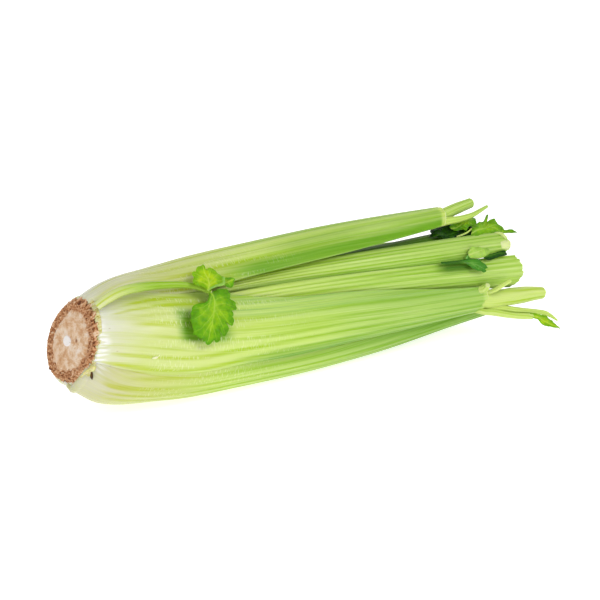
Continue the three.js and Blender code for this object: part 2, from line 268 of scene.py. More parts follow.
def new_finish(name):
    """Empty material with one main shader; returns the material, its tree and the shader."""
    finish = bpy.data.materials.new(name)
    finish.use_nodes = True
    tree = finish.node_tree
    return finish, tree, tree.nodes["Principled BSDF"]


def node(tree, kind, settings=(), **sockets):
    """Adds a node. A socket given another node's output is linked, and a plain value is set.
    A name such as _6 is the socket's number, for sockets that share a name."""
    made = tree.nodes.new("ShaderNode" + kind)
    for key, value in dict(settings).items():
        setattr(made, key, value)
    for key, value in sockets.items():
        socket = made.inputs[int(key[1:])] if key[0] == "_" else made.inputs[key.replace("_", " ")]
        if isinstance(value, bpy.types.NodeSocket):
            tree.links.new(value, socket)
        else:
            socket.default_value = value
    return made


def reading(tree, name, output="Fac"):
    return node(tree, "Attribute", {"attribute_name": name}).outputs[output]


def ramp(tree, value, stops):
    """Colour along a row of (place, colour) stops."""
    made = node(tree, "ValToRGB", _0=value)
    ends = made.color_ramp.elements
    for k, (place, colour) in enumerate(stops):
        stop = ends[k] if k < 2 else ends.new(place)
        stop.position = place
        stop.color = colour
    return made.outputs["Color"]


def blend(tree, factor, a, b):
    """Colour a turned into colour b by the factor."""
    made = node(tree, "Mix", {"data_type": "RGBA"}, _0=factor, _6=a, _7=b)
    return made.outputs[2]


def plus(tree, a, b):
    return node(tree, "Math", {"operation": "ADD"}, _0=a, _1=b).outputs[0]


def times(tree, a, b):
    return node(tree, "Math", {"operation": "MULTIPLY"}, _0=a, _1=b).outputs[0]


def span(tree, value, low, high, start=0.0, end=1.0):
    """Maps low..high to start..end, held at the ends."""
    made = node(tree, "MapRange", {"interpolation_type": "SMOOTHSTEP"}, Value=value)
    made.inputs["From Min"].default_value = low
    made.inputs["From Max"].default_value = high
    made.inputs["To Min"].default_value = start
    made.inputs["To Max"].default_value = end
    return made.outputs["Result"]


# %% [markdown]
# ## Noise and relief in a material
# Blender's noise texture gives soft round blotches. Scaling its coordinates more one way than
# the other draws the blotches out into streaks. Fine relief, too small to be worth faces,
# goes in as bump. Plant flesh also lets light a short way in, which takes the hardness off
# it, so every finish here sets some scattering under the surface.

# %% Noise and relief helpers
def mottle(tree, vector, size=1.0, detail=2.0, rough=0.5):
    made = node(tree, "TexNoise", Vector=vector, Scale=size, Detail=detail, Roughness=rough)
    return made.outputs["Fac"]


def stretched(tree, vector, scale):
    """Coordinates with their own scale in each direction."""
    made = node(tree, "Mapping", Vector=vector)
    made.inputs["Scale"].default_value = scale
    return made.outputs["Vector"]


def drawn_out(tree, lay, across, along, detail, rough=0.5):
    """Noise with so many blotches a millimetre across the piece and along it."""
    return mottle(tree, stretched(tree, lay, (across, along, 1)), 1, detail, rough)


def roughen(tree, shader, height, strength, distance):
    """Fine relief, with its depth in metres."""
    bump = node(tree, "Bump", Height=height, Strength=strength, Distance=distance)
    tree.links.new(bump.outputs["Normal"], shader.inputs["Normal"])


def let_light_in(shader, weight, radius, depth, gloss):
    """Scattering under the surface, how far in metres, and how strongly the surface mirrors."""
    shader.inputs["Subsurface Weight"].default_value = weight
    shader.inputs["Subsurface Radius"].default_value = radius
    shader.inputs["Subsurface Scale"].default_value = depth
    shader.inputs["Specular IOR Level"].default_value = gloss


print("helpers ready")

# %% [markdown]
# ## The colours of a stalk
# A celery stalk is white at the root and turns yellow-green, then green, towards the leaves.
# Its strings show as pale raised ridges with narrow, strongly coloured grooves between them.
# A painted picture could give this, but it would have to be unwrapped onto every stalk, and
# it blurs close up. Here the mesh says how far along each point is and where the grooves
# are. The colours come from one ramp for the ridges, one for the grooves and one for cut
# flesh, and drawn-out noise breaks them into streaks.

# %% Colours along a stalk
RIDGE_COLOURS = [
    (0.03, (238, 238, 226)), (0.06, (232, 233, 208)), (0.10, (226, 229, 186)),
    (0.18, (214, 224, 146)), (0.38, (204, 225, 120)), (0.50, (196, 220, 112)),
    (0.65, (186, 214, 110)), (1.0, (174, 206, 98)),
]
GROOVE_COLOURS = [
    (0.03, (232, 233, 196)), (0.06, (206, 214, 104)), (0.10, (194, 207, 64)),
    (0.18, (186, 205, 50)), (0.38, (166, 200, 38)), (0.50, (156, 195, 42)),
    (0.65, (148, 190, 46)), (1.0, (132, 178, 40)),
]
FLESH_COLOURS = [(0.0, (236, 238, 205)), (0.35, (214, 226, 152)), (1.0, (190, 214, 120))]
# Deep green: partly the stalks' own deeper green, partly painted shade on flanks, edges and under leaves.
DEEP_AND_SHADE_COLOUR = (104, 160, 8)
# Painted shade: the cooler, bluish green on the sides of stalks that look up.
COOL_SHADE_COLOUR = (148, 188, 92)
STRING_COLOUR = (222, 234, 160)


def string_colours(tree, lay, place, streaks):
    """Ridge and groove colours together, and the colour of cut flesh at the same place."""
    patches = drawn_out(tree, lay, 0.05, 0.012, 3)
    along = plus(tree, place, span(tree, patches, 0.3, 0.7, -0.04, 0.04))
    ridge, groove, flesh = [
        ramp(tree, along, [(at, paint(*colour)) for at, colour in stops])
        for stops in (RIDGE_COLOURS, GROOVE_COLOURS, FLESH_COLOURS)
    ]
    bands = drawn_out(tree, lay, 0.2, 0.005, 2)
    in_groove = plus(tree, reading(tree, "groove"), span(tree, streaks, 0.3, 0.75, -0.2, 0.3))
    in_groove = plus(tree, in_groove, span(tree, bands, 0.35, 0.65, -0.2, 0.4))
    return blend(tree, in_groove, ridge, groove), flesh


print("stops on the ridge ramp:", len(RIDGE_COLOURS))

# %% [markdown]
# ## Shade and marks on the skin
# The green isn't even. Part of it is the stalk's own deeper green, and part is painted shade:
# deeper on the flanks, a painted shadow where a leaf lies on the stalk, and a cooler painted
# shade on the side that looks up. Light strings run through it, and here and there are rows
# of tiny pale dashes across the ridges, and a few brown specks. The mesh says how deep, how
# shaded and how dashed each place is, and noise decides the rest, so no mark is placed by hand.

# %% Shade and dashes
DASH_COLOUR = (236, 242, 190)
DASH_STRENGTH = 0.42


def shaded(tree, lay, colour, streaks, deep_and_shade_colour):
    """Light strings, the deeper green (partly its own, partly painted shade) and the cooler painted shade
    that the mesh asks for.
    """
    pale = span(tree, drawn_out(tree, lay, 1.3, 0.012, 2), 0.5, 0.72, 0, 0.4)
    colour = blend(tree, pale, colour, paint(*STRING_COLOUR))
    # Partly painted shade: the deep green where the mesh asks for it.
    deep = times(tree, reading(tree, "deep"), span(tree, streaks, 0.3, 0.65, 0.8, 1.15))
    colour = blend(tree, deep, colour, paint(*deep_and_shade_colour))
    # Painted shade: the cooler green where the mesh asks for it.
    cool = times(tree, reading(tree, "cool"), span(tree, streaks, 0.32, 0.62, 1.1, 0.25))
    return blend(tree, cool, colour, paint(*COOL_SHADE_COLOUR))


def dash_rows(tree, lay):
    """Rows of tiny dashes across the ridges, in patches."""
    rows = drawn_out(tree, lay, 0.34, 1.3, 0)
    patch = span(tree, drawn_out(tree, lay, 0.16, 0.016, 1), 0.46, 0.56)
    dashes = times(tree, span(tree, rows, 0.55, 0.68), patch)
    return times(tree, dashes, reading(tree, "dashes"))


print("share of the dash colour at most:", DASH_STRENGTH)

# %% [markdown]
# ## The whole skin
# One function makes every stalk's skin. It can shift a stalk along the ramps, so that young
# stalks are paler, and dull the root end with olive. The wet white gloss at the root is a
# painted highlight, a broken mirror of the soft light. It is added as white in the colour,
# because the shader alone gives it far too evenly there. The skin is glossier at the root
# than at the top.

# %% Stalk skin
OLIVE_COLOUR = (182, 176, 92)
SPECK_COLOUR = (170, 140, 70)
WHITE = (255, 255, 255)


def stalk_skin(name, green=0.0, gloss=0.36, olive=0.0, deep_and_shade_colour=DEEP_AND_SHADE_COLOUR):
    """green shifts the whole stalk along the colour ramps, and olive dulls its root end."""
    finish, tree, shader = new_finish(name)
    lay = reading(tree, "lay", "Vector")
    place = plus(tree, reading(tree, "along"), green)
    streaks = drawn_out(tree, lay, 0.7, 0.008, 3, 0.6)
    colour, flesh = string_colours(tree, lay, place, streaks)
    colour = shaded(tree, lay, colour, streaks, deep_and_shade_colour)
    dashes = dash_rows(tree, lay)
    colour = blend(tree, times(tree, dashes, DASH_STRENGTH), colour, paint(*DASH_COLOUR))
    if olive:
        colour = blend(tree, span(tree, place, 0.05, 0.4, olive, 0.0), colour, paint(*OLIVE_COLOUR))
    # Painted highlight: white where the mesh asks for shine, broken into streaks by noise.
    gleam = times(tree, span(tree, drawn_out(tree, lay, 0.7, 0.1, 2), 0.4, 0.62), reading(tree, "shine"))
    colour = blend(tree, gleam, colour, paint(*WHITE))
    specks = node(tree, "TexVoronoi", Vector=stretched(tree, lay, (0.11, 0.055, 1)), Scale=1.0)
    speck = span(tree, specks.outputs["Distance"], 0.02, 0.05, 0.45, 0)
    colour = blend(tree, speck, colour, paint(*SPECK_COLOUR))
    colour = blend(tree, reading(tree, "flesh"), colour, flesh)
    tree.links.new(colour, shader.inputs["Base Color"])

    fine = drawn_out(tree, lay, 2.0, 0.05, 4, 0.6)
    roughen(tree, shader, plus(tree, fine, times(tree, dashes, 0.6)), 0.3, 0.0003)
    dry = span(tree, place, 0.05, 0.45, -0.12, 0.06)
    streaky = span(tree, streaks, 0.3, 0.7, gloss - 0.04, gloss + 0.08)
    tree.links.new(plus(tree, dry, streaky), shader.inputs["Roughness"])
    let_light_in(shader, 0.3, (0.8, 1.0, 0.25), 0.0015, 0.2)
    return finish


outer_skin = stalk_skin("outer_stalk_skin")
print("nodes in the outer skin:", len(outer_skin.node_tree.nodes))

# %% [markdown]
# ## Ribs
# The strings of a stalk stand up as ribs. A bump in the material would not show on the
# outline, and a plain wave in the mesh would look machined. So the ribs are a wave in the
# mesh in which each rib has its own height and each groove its own depth. They wander a
# little, and each groove begins at its own distance from the smooth white base.

# %% Ribs
def rib_wave(t, s, ribs, seed):
    """Crest height 0..1 across t = -1..1, and how deep and coloured the grooves are."""
    phase = ribs * (t + 1) / 2 + 0.24 * np.sin(2.6 * t + seed) + 0.13 * np.sin(6.1 * t + 2.3 * seed)
    phase = phase + 0.06 * np.sin(s / 55 + 1.7 * seed + 1.2 * t)
    which = np.floor(phase)
    crest = np.sin(np.pi * (phase - which)) ** 0.75
    edge_of = np.round(phase)
    luck = dice(edge_of, seed=seed + 50)
    begins = 6 + 34 * (1 - luck) ** 2
    depth = (0.4 + 0.6 * luck) * smooth(s, begins, begins + 18)
    height = crest * (0.5 + 0.5 * dice(which, seed=seed))
    groove = (1 - smooth(np.abs(phase - edge_of), 0.02, 0.4)) * depth
    return height, groove


def string_relief(full):
    """How high ribs stand, in mm: low at the base, full from 95 mm, a little lower at the top."""
    return lambda s: full * (0.12 + 0.88 * smooth(s, 18, 95)) * (1 - 0.25 * smooth(s, 200, 290))


print("rib height at 20, 60 and 150 mm:", string_relief(0.7)(np.array([20, 60, 150])).round(2))

# %% [markdown]
# ## The shape of a stalk
# Cut across, a stalk is a crescent: a round outer back with ribs, a hollow inner face and
# two thin rounded edges. Sweeping one fixed outline along a curve would be quick, but a
# stalk's outline changes all the way. `crescent` makes the closed outline anew at every
# station. Near the root the stalks wrap round each other, so an edge can run on past its
# plain width, under or over its neighbour, and the covering edge bends down onto it.

# %% Crescent outline
EDGE = 1.6
BASE_EDGE = 1.6
EDGE_DROOP = 3.4
KEEP_STRAIGHT = 0.62  # how far the ribs run straight along the head instead of turning with their stalk
EDGE_STEPS = np.radians([30, 60, 90, 120, 150])
EDGE_POINTS = len(EDGE_STEPS)
CROWDING = 1.15  # puts more points near the two edges than in the middle


def crescent(design, stations, s, across, ribs, relief, low_run, high_run, seed):
    """Closed outline at each station: plain plant points before the lean, and its values.
    low_run and high_run are how far each edge runs on past its plain width, in mm."""
    shape = {key: through(stations, design[key], s)[:, None] for key in
             ("angle", "reach", "width", "bend", "thick", "tuck")}
    turn_of = np.radians(shape["angle"] + shape["tuck"])
    outward = np.stack([np.sin(turn_of), np.cos(turn_of)], -1)
    sideways = np.stack([np.cos(turn_of), -np.sin(turn_of)], -1)
    at = np.radians(shape["angle"])
    apex = np.stack([np.sin(at), np.cos(at)], -1) * shape["reach"][..., None]
    centre = apex - outward * shape["bend"][..., None]

    base = 1 - smooth(s, 60, 150)[:, None]
    edge = EDGE + BASE_EDGE * base**2
    u = (1 + np.sin(np.linspace(-1, 1, across) * CROWDING) / math.sin(CROWDING)) / 2
    low_end = -1 - (low_run[:, None] - edge / 2) / shape["width"]
    high_end = 1 + (high_run[:, None] - edge / 2) / shape["width"]
    t = low_end + (high_end - low_end) * u
    turn = t * shape["width"] / shape["bend"]
    ray = outward * np.cos(turn)[..., None] + sideways * np.sin(turn)[..., None]
    over = sideways * np.cos(turn)[..., None] - outward * np.sin(turn)[..., None]
    half_turn = np.degrees(shape["width"] / shape["bend"])
    straight = t + KEEP_STRAIGHT * (shape["angle"] - design["angle"][2]) / half_turn
    height, groove = rib_wave(straight, s[:, None], ribs, seed)
    bumps = 0.25 * grain(s[:, None] / 45, t * 2.2, seed=seed) * smooth(s[:, None], 20, 60)
    inside = np.clip(np.abs(t), 0, 1)
    lift = height * relief(s)[:, None] * (1 - inside**6) + bumps
    bend = shape["bend"] - EDGE_DROOP * base * smooth(t - high_end, -0.25, 0.05)
    depth = edge + (shape["thick"] - edge) * (1 - inside**3) ** 0.75
    hollow = 0.18 * grain(s[:, None] / 30, t * 5, seed=seed + 9)

    back = centre + ray * (bend + lift)[..., None]
    face = centre + ray * (bend - depth + hollow)[..., None]
    rim = []
    for end, sign in ((-1, 1), (0, -1)):
        middle = centre[:, 0] + ray[:, end] * (bend[:, end:end + 1 or None] - edge / 2)
        turns = EDGE_STEPS if sign > 0 else EDGE_STEPS[::-1]
        for a in turns:
            rim.append(middle + edge / 2 * (math.cos(a) * ray[:, end] + sign * math.sin(a) * over[:, end]))
    right, left = np.stack(rim[:EDGE_POINTS], 1), np.stack(rim[EDGE_POINTS:], 1)
    outline = np.concatenate([back, right, face[:, ::-1], left], axis=1)

    many = outline.shape[1]
    width = shape["width"]
    blank = np.zeros((len(s), EDGE_POINTS))
    high_rim = np.repeat(t[:, -1:], EDGE_POINTS, 1)
    low_rim = np.repeat(t[:, :1], EDGE_POINTS, 1)
    values = {
        "groove": np.concatenate([groove, blank, 0.3 * groove[:, ::-1], blank], 1),
        "flesh": np.concatenate([0 * t, blank + 0.15, 0 * t + 1, blank + 0.15], 1),
        "arc": np.concatenate([t * width, high_rim * width, t[:, ::-1] * width + 90, low_rim * width], 1),
        "t": np.concatenate([t, high_rim, t[:, ::-1], low_rim], 1),
    }
    points = np.concatenate([np.repeat(s[:, None, None], many, 1), -outline[..., :1], outline[..., 1:]], -1)
    return points, values


print("outline points for 96 across:", 2 * 96 + 2 * EDGE_POINTS)

# %% [markdown]
# ## Ends of a stalk
# At the root a stalk presses against the side of the crown, and its end bulges there. At the
# top it is cut or broken: the end is slightly domed, wet and fibrous, and the strings stand
# out of it. One big face could close the end, but it would be flat and could not carry any
# relief. So the last outline is drawn in towards its own middle line in a few steps.

# %% Closing an end
END_STEPS = 7


def middle_line(points, across):
    """For each point of an outline, the point half way between the back and the face."""
    face_from = across + EDGE_POINTS
    back, face = points[:across], points[face_from:face_from + across][::-1]
    middle = (back + face) / 2
    high_rim = np.repeat(middle[-1:], EDGE_POINTS, 0)
    low_rim = np.repeat(middle[:1], EDGE_POINTS, 0)
    return np.concatenate([middle, high_rim, middle[::-1], low_rim])


def close_end(outline, across, way, dome, rough, seed):
    """Rows that close an outline. way is +1 at the top and -1 at the root."""
    centre = middle_line(outline, across)
    rows = []
    for k in range(1, END_STEPS + 1):
        q = k / END_STEPS
        row = outline + (centre - outline) * (1 - math.cos(q * math.pi / 2) ** 0.8 if k < END_STEPS else 1.0)
        strings = grain(row[:, 1] / 0.9, row[:, 2] / 0.9, seed=seed)
        row[:, 0] += way * (dome * math.sin(q * math.pi / 2) + rough * strings * min(1, 2 * q))
        rows.append(row)
    return np.stack(rows)


print("rows that close an end:", END_STEPS)

# %% [markdown]
# ## A whole stalk
# `stalk` puts the outlines and the two ends together and writes the values that the skin
# reads. The two edges of a stalk are told apart by their angle round the head: the low edge
# comes first going round from the top, and the high edge last. Where a pair of numbers is
# given, it is for the low edge and the high edge. A stalk that forks has a pale ring, its
# node, at the end.

# %% A whole stalk
RAMP_LENGTH = 300  # the colour ramps run over so many millimetres
NODE_PALER, NODE_WIDTH = 200, 1.8


def plain_shade(t, s):
    """Painted shade: most stalks are painted deeper towards both edges, where they turn away from the light.
    """
    return 0.5 * smooth(np.abs(t), 0.6, 1.0) * smooth(s, 60, 130), 0 * t


def no_shine(t, s):
    return 0 * t


def stalk(name, design, stations, fine, ribs, finish, slot, relief, dashes=0.0, dome=0.8, rough=0.35,
          jag=0.0, spare=(0, 0), tucked=(0, 0), trim=(0, 0), cutback=(0, 0), root_dome=0.3, node_at=None,
          shade=plain_shade, shine=no_shine, ahead=0.0, fade=0.0, seed=1):
    """One whole stalk as a closed mesh. spare is how far, near the root, the low edge runs on
    under one neighbour and the high edge over the other, and tucked is how far they do so
    further along. trim narrows the stalk towards its tip, cutback ends its edges before its
    middle, and jag makes that end ragged. ahead makes the stalk greener or paler than its
    place says, and fade makes it paler at its tip."""
    across, lengthwise = fine
    stations = [*stations, design["tip"]]
    start, tip = stations[0], stations[-1]
    s = start + (tip - start) * np.linspace(0, 1, lengthwise) ** 1.35
    base, runs_on = 1 - smooth(s, 60, 150), 1 - smooth(s, tip - 50, tip - 10)
    narrowing = smooth(s, tip - 100, tip - 15)
    low_run = spare[0] * base + tucked[0] * runs_on - trim[0] * narrowing
    high_run = spare[1] * (1 - smooth(s, 20, 75)) + tucked[1] * runs_on - trim[1] * narrowing
    points, values = crescent(design, stations, s, across, ribs, relief, low_run, high_run, seed)
    ragged = jag * grain(values["t"] * 7, 0, seed=seed + 3) + jag * grain(values["t"] * 17, 5, seed=seed + 4)
    rounding = cutback[0] * np.clip(-values["t"], 0, 1) ** 2 + cutback[1] * np.clip(values["t"], 0, 1) ** 2
    points[..., 0] += (ragged - rounding) * smooth(s[:, None], tip - 14, tip)
    top = close_end(points[-1], across, 1, dome, rough, seed)
    root = close_end(points[0], across, -1, root_dome, 0.1, seed)[::-1]
    whole = np.concatenate([root, points, top])

    def spread(value, at_ends=None):
        first = np.repeat(value[:1], len(root), 0)
        last = np.repeat(value[-1:], len(top), 0)
        if at_ends is not None:
            first, last = first * 0 + at_ends, last * 0 + at_ends
        return np.concatenate([first, value, last])

    along = np.repeat(s[:, None], whole.shape[1], 1)
    pale = 0 * along if node_at is None else np.exp(-((along - node_at) / NODE_WIDTH) ** 2)
    lay = np.stack([values["arc"] + 40 * seed, along, 0 * along + 13 * seed], -1)
    deep, cool = shade(values["t"], s[:, None])
    paler_tip = fade * smooth(along, tip - 42, tip - 6)
    greener = ahead * smooth(along, 12, 40)
    readings = {
        "deep": spread(deep * (1 - pale), 0.0),
        "cool": spread(cool * (1 - pale), 0.0),
        "along": spread((along - NODE_PALER * pale - paler_tip) / RAMP_LENGTH + greener),
        "shine": spread(shine(values["t"], s[:, None])),
        "groove": spread(values["groove"] * (1 - pale), 0.15),
        "flesh": np.concatenate([0 * root[..., 0], values["flesh"], 0 * top[..., 0] + 1]),
        "dashes": spread(dashes * smooth(along, 32, 46) * (1 - smooth(along, 65, 170))),
        "lay": np.concatenate([np.repeat(lay[:1], len(root), 0), lay, np.repeat(lay[-1:], len(top), 0)]),
    }
    quads = hoops_to_quads(len(whole), whole.shape[1])
    return make_piece(name, lean(whole), quads, finish, readings, solids=[name], crease=60)


def ring_of_stalks(designs, stations, usual, own, first_seed):
    """Makes every stalk of a ring from its usual settings and then the ones that are its own."""
    for seed, (name, design) in enumerate(designs.items(), start=first_seed):
        stalk(name, design, stations, seed=seed, **{**usual, **own.get(name, {})})


print("the ramps run over", RAMP_LENGTH, "mm")

# %% [markdown]
# ## The five outer stalks
# These are the broad stalks that show. Each is a row of values at the five stations and at
# its own tip: the angle round the head, the reach, half the width, the radius across, the
# thickness, and the tuck that lays one edge over the next stalk. They are the solids' own
# values, so the shapes agree. A few reaches and thicknesses are up to two millimetres off
# them and a few tucks some degrees, so that the skins of neighbours close up. Most of those
# are near the root, and the top stalk also lies a little lower further along.

# %% Outer stalk shapes
OUTER_AT = [10.5, 24, 60, 110, 180]
OUTER = {
    "outer_stalk_top": dict(
        tip=264, angle=[-19.5, -13.5, 0.5, 10, 12.5, 14.5], reach=[25.4, 31.8, 39, 44.6, 48.2, 48.8],
        width=[16.3, 19.5, 25.3, 22, 19.5, 12.6], bend=[25.4, 30, 38, 30, 20, 10.5],
        thick=[4.5, 6, 7.5, 8.5, 8.5, 8], tuck=[-4, -5, -7, -6, -5, -4]),
    "outer_stalk_front": dict(
        tip=285, angle=[60, 66, 76, 86.5, 94, 109], reach=[25.4, 33, 41, 42.7, 42.6, 38.8],
        width=[16.3, 20.5, 26.3, 22, 19.6, 14.8], bend=[25.4, 31, 39, 32, 24, 16],
        thick=[4.5, 6, 7.5, 6.5, 5.5, 6], tuck=[-6, -6, -6, -3, 0, 2]),
    "outer_stalk_front_low": dict(
        tip=298, angle=[131, 135.5, 143, 147, 149, 144], reach=[27.2, 35.3, 41.2, 43.2, 43.4, 35.2],
        width=[16.3, 19.5, 24.5, 20.6, 17.4, 8.5], bend=[25.4, 31, 38, 30, 22, 11],
        thick=[6.3, 6, 7.5, 8.5, 8, 6], tuck=[-12, -9, -4, -4, -4, -4]),
    "outer_stalk_back_low": dict(
        tip=300, angle=[202.3, 206.3, 211, 211.5, 211, 210], reach=[26.4, 36, 41.6, 44.5, 45.7, 40.2],
        width=[16, 19, 24, 21, 17, 12], bend=[25.4, 31, 38, 30, 22, 15],
        thick=[5.8, 6.2, 7.5, 8.5, 8.5, 8], tuck=[-4, -4, -3, 0, 0, 0]),
    "outer_stalk_back": dict(
        tip=278, angle=[270.8, 274.8, 281.5, 282, 278, 275], reach=[25.4, 31.5, 39.5, 42, 39.5, 35.5],
        width=[14.9, 17.8, 23.6, 21, 16, 10], bend=[25.4, 30, 38, 30, 22, 12],
        thick=[4.5, 6, 7.5, 8.5, 8.5, 8], tuck=[-4, -4, -4, -4, -4, -4]),
}
print("outer stalks:", len(OUTER))

# %% [markdown]
# ## Where the outer stalks get painted shade and highlight
# Each visible stalk has its own light and dark, painted into its colour. The top one has a
# cooler painted shade on its upper side and deep painted shade along its lower side. The front
# one has the cooler painted shade above, a painted shadow of the leaf that hangs on it in a short
# patch beside it, deep painted shade along its lower side, and a painted white highlight where
# it leaves the root.
# Painting this by hand would lock it to one mesh, so each stalk has a small function of the
# place across (t, from -1 at the low edge to 1 at the high edge) and along (s, in mm).

# %% Outer stalk shades
def shade_top(t, s):
    # Painted shade along the lower side, and a cooler painted shade on the upper side; the middle turns a
    # deeper green further along.
    flank_shade = 0.95 * smooth(t, 0.4, 0.8) * smooth(s, 80, 125)
    middle = 0.45 * smooth(t, -0.05, 0.3) * smooth(s, 120, 155) * (1 - 0.6 * smooth(s, 180, 215))
    return np.maximum(flank_shade, middle), 0.8 * (1 - smooth(t, -0.45, 0.1)) * smooth(s, 105, 145)


def shade_front(t, s):
    # Painted shadow of the hanging leaf in a short patch, painted shade along the lower side, and a cooler
    # painted shade above; the whole turns a little deeper green further along.
    leaf_shadow_paint = 0.92 * smooth(s, 53, 61) * (1 - smooth(s, 82, 95))
    leaf_shadow_paint = leaf_shadow_paint * smooth(t, -0.75, -0.5) * (1 - smooth(t, 0.0, 0.22))
    flank_shade = 0.8 * smooth(t, 0.35, 0.85) * smooth(s, 80, 130) * (1 - 0.7 * smooth(s, 165, 210))
    deep = np.maximum(leaf_shadow_paint, flank_shade + 0.22 * smooth(s, 150, 220))
    return deep, 0.95 * (1 - smooth(t, -0.75, -0.25)) * smooth(s, 60, 110)


def shade_front_low(t, s):
    # Painted shade along the low edge, where the front stalk lies over it, and a deeper green towards the
    # tip.
    return 0.55 * smooth(s, 160, 250) + 0.3 * (1 - smooth(t, -0.9, -0.5)) * smooth(s, 60, 130), 0 * t


def shine_front(t, s):
    # Painted highlight: glossy white where the stalk leaves the root, except along its upper edge.
    further = smooth(t, -0.1, 0.4)
    return 0.9 * (1 - smooth(s, 10 + 2 * further, 13.5 + 3 * further)) * smooth(t, -0.8, -0.6)


def shine_front_low(t, s):
    # Painted highlight: a weaker gloss near the root, along the low edge.
    return 0.4 * smooth(-t, 0.35, 0.7) * smooth(s, 9, 12) * (1 - smooth(s, 14, 20))


print("top stalk's middle at 150 mm, deep and cool:", [round(float(v), 2) for v in shade_top(0.0, 150.0)])

# %% [markdown]
# ## Make the outer stalks
# The stalks share most settings, so those stand once and each stalk lists only its own. The
# two that forked are cut back at the edges and end in a node. The stalks at the back are made
# of fewer faces, because no one looks at them closely, and the whole head has to stay light
# enough to load.

# %% Make the outer stalks
SHOWN_FINE, BACK_FINE = (110, 170), (88, 130)
low_skin = stalk_skin("outer_stalk_skin_low", olive=0.45)
top_skin = stalk_skin("outer_stalk_skin_top", olive=0.24)
OUTER_USUAL = dict(
    fine=SHOWN_FINE, ribs=8, finish=outer_skin, slot="outer_stalk", relief=string_relief(0.7), dashes=1.0,
    spare=(6.5, 0), root_dome=1.8)
OUTER_OWN = {
    "outer_stalk_top": dict(
        ribs=6, finish=top_skin, dome=1.5, cutback=(2.0, 4.5), node_at=263, shade=shade_top, ahead=-0.04),
    "outer_stalk_front": dict(
        dome=1.5, spare=(6.5, 5.0), trim=(3.0, 0), cutback=(5.0, 7.0), node_at=284, shade=shade_front,
        shine=shine_front, ahead=0.045),
    "outer_stalk_front_low": dict(
        ribs=7, finish=low_skin, root_dome=3.6, tucked=(2.2, 0), shade=shade_front_low,
        shine=shine_front_low, ahead=0.05),
    "outer_stalk_back_low": dict(fine=BACK_FINE, root_dome=2.6),
    "outer_stalk_back": dict(fine=BACK_FINE),
}
ring_of_stalks(OUTER, OUTER_AT, OUTER_USUAL, OUTER_OWN, first_seed=1)

# %% [markdown]
# ## Inner stalks
# The younger stalks inside are narrower, more evenly green and more finely ribbed, and their
# bases are hidden. Two of them, the upper and the front one, show along their whole upper
# half. The front one ends in a broad ragged break, a little wider than its solid's end. The
# other four are seen only between the outer stalks and from the ends, so a plain row of
# values does for them.

# %% Inner stalk shapes
INNER_AT = [30, 60, 110, 180]
INNER = {
    "inner_stalk_upper": dict(
        tip=304, angle=[24, 26, 31.7, 39.8, 51.3], reach=[22, 28, 34, 38.3, 40.2],
        width=[6, 5.2, 5.2, 7.1, 8.6], bend=[14, 14, 13, 12, 10],
        thick=[3.5, 5, 5.5, 6, 6.5], tuck=[-6, -2, 2, 5, 5]),
    "inner_stalk_front": dict(
        tip=314.5, angle=[59.5, 57, 58, 64.6, 85.5], reach=[20, 28, 35.4, 37.5, 35.7],
        width=[7, 8.9, 8.7, 9.2, 12.3], bend=[14, 16, 15, 14, 16],
        thick=[3.5, 5, 5, 5, 5.6], tuck=[4, 6, 11, 13, 8]),
    "inner_stalk_front_low": dict(
        tip=282, angle=[115, 117, 119, 121, 120], reach=[22, 30, 31, 31, 28.2],
        width=[7, 11, 13, 12, 8.8], bend=[14, 18, 18, 15, 11],
        thick=[3.5, 6, 7.5, 8, 7], tuck=[0, 0, 0, 0, 0]),
    "inner_stalk_under": dict(
        tip=294, angle=[178, 180, 180, 180, 179], reach=[22, 30, 32.5, 34, 32],
        width=[7, 11, 13, 12, 10], bend=[14, 18, 18, 14, 12],
        thick=[3.5, 6, 7.5, 8, 7], tuck=[0, 0, 0, 0, 0]),
    "inner_stalk_back_low": dict(
        tip=288, angle=[247, 247, 245, 243, 243], reach=[22, 30, 31.5, 31.5, 31],
        width=[7, 11, 12.5, 11.5, 10], bend=[14, 18, 18, 15, 12],
        thick=[3.5, 6, 7.5, 8, 7], tuck=[0, 0, 0, 0, 0]),
    "inner_stalk_back": dict(
        tip=292, angle=[322, 325, 325, 317, 314], reach=[22, 29, 29.5, 26.8, 23],
        width=[7, 11, 12, 10.5, 9], bend=[14, 18, 17, 13, 11],
        thick=[3.5, 5.5, 6.5, 7, 6], tuck=[0, 0, 0, 0, 0]),
}
print("inner stalks:", len(INNER))

# %% [markdown]
# ## Make the inner stalks
# The front one is painted dark where the leaves above throw their shade on it, and fades to a
# pale, dry colour at its break. Its edges end before its middle, which gives the break its round
# outline. The ones that show get more faces than the hidden ones.

# %% Make the inner stalks
INNER_SHOWN_FINE, HIDDEN_FINE = (72, 130), (48, 90)
inner_skin = stalk_skin("inner_stalk_skin", green=0.02)
# Its darker deep colour is for the painted shadow of the leaves.
front_skin = stalk_skin("inner_stalk_skin_front", deep_and_shade_colour=(64, 116, 0))


def shade_inner_front(t, s):
    """Painted shadow where a leaf shades it, and a little painted shade along its high edge."""
    leaf_shadow_paint = (1 - smooth(t, -0.62, -0.12)) * smooth(s, 240, 256) * (1 - smooth(s, 270, 284))
    return np.maximum(0.95 * leaf_shadow_paint, 0.4 * smooth(t, 0.65, 1.0) * smooth(s, 60, 130)), 0 * t


INNER_USUAL = dict(
    fine=HIDDEN_FINE, ribs=6, finish=inner_skin, slot="inner_stalk", relief=string_relief(0.5), dashes=0.6,
    jag=0.2, rough=0.5)
INNER_OWN = {
    "inner_stalk_upper": dict(fine=INNER_SHOWN_FINE, tucked=(0, 2.2), trim=(0, -1.6), cutback=(2.5, 3.5)),
    "inner_stalk_front": dict(
        fine=INNER_SHOWN_FINE, finish=front_skin, jag=0.8, trim=(0, -1.6), cutback=(5.5, 6.5),
        shade=shade_inner_front, fade=110),
}
ring_of_stalks(INNER, INNER_AT, INNER_USUAL, INNER_OWN, first_seed=11)
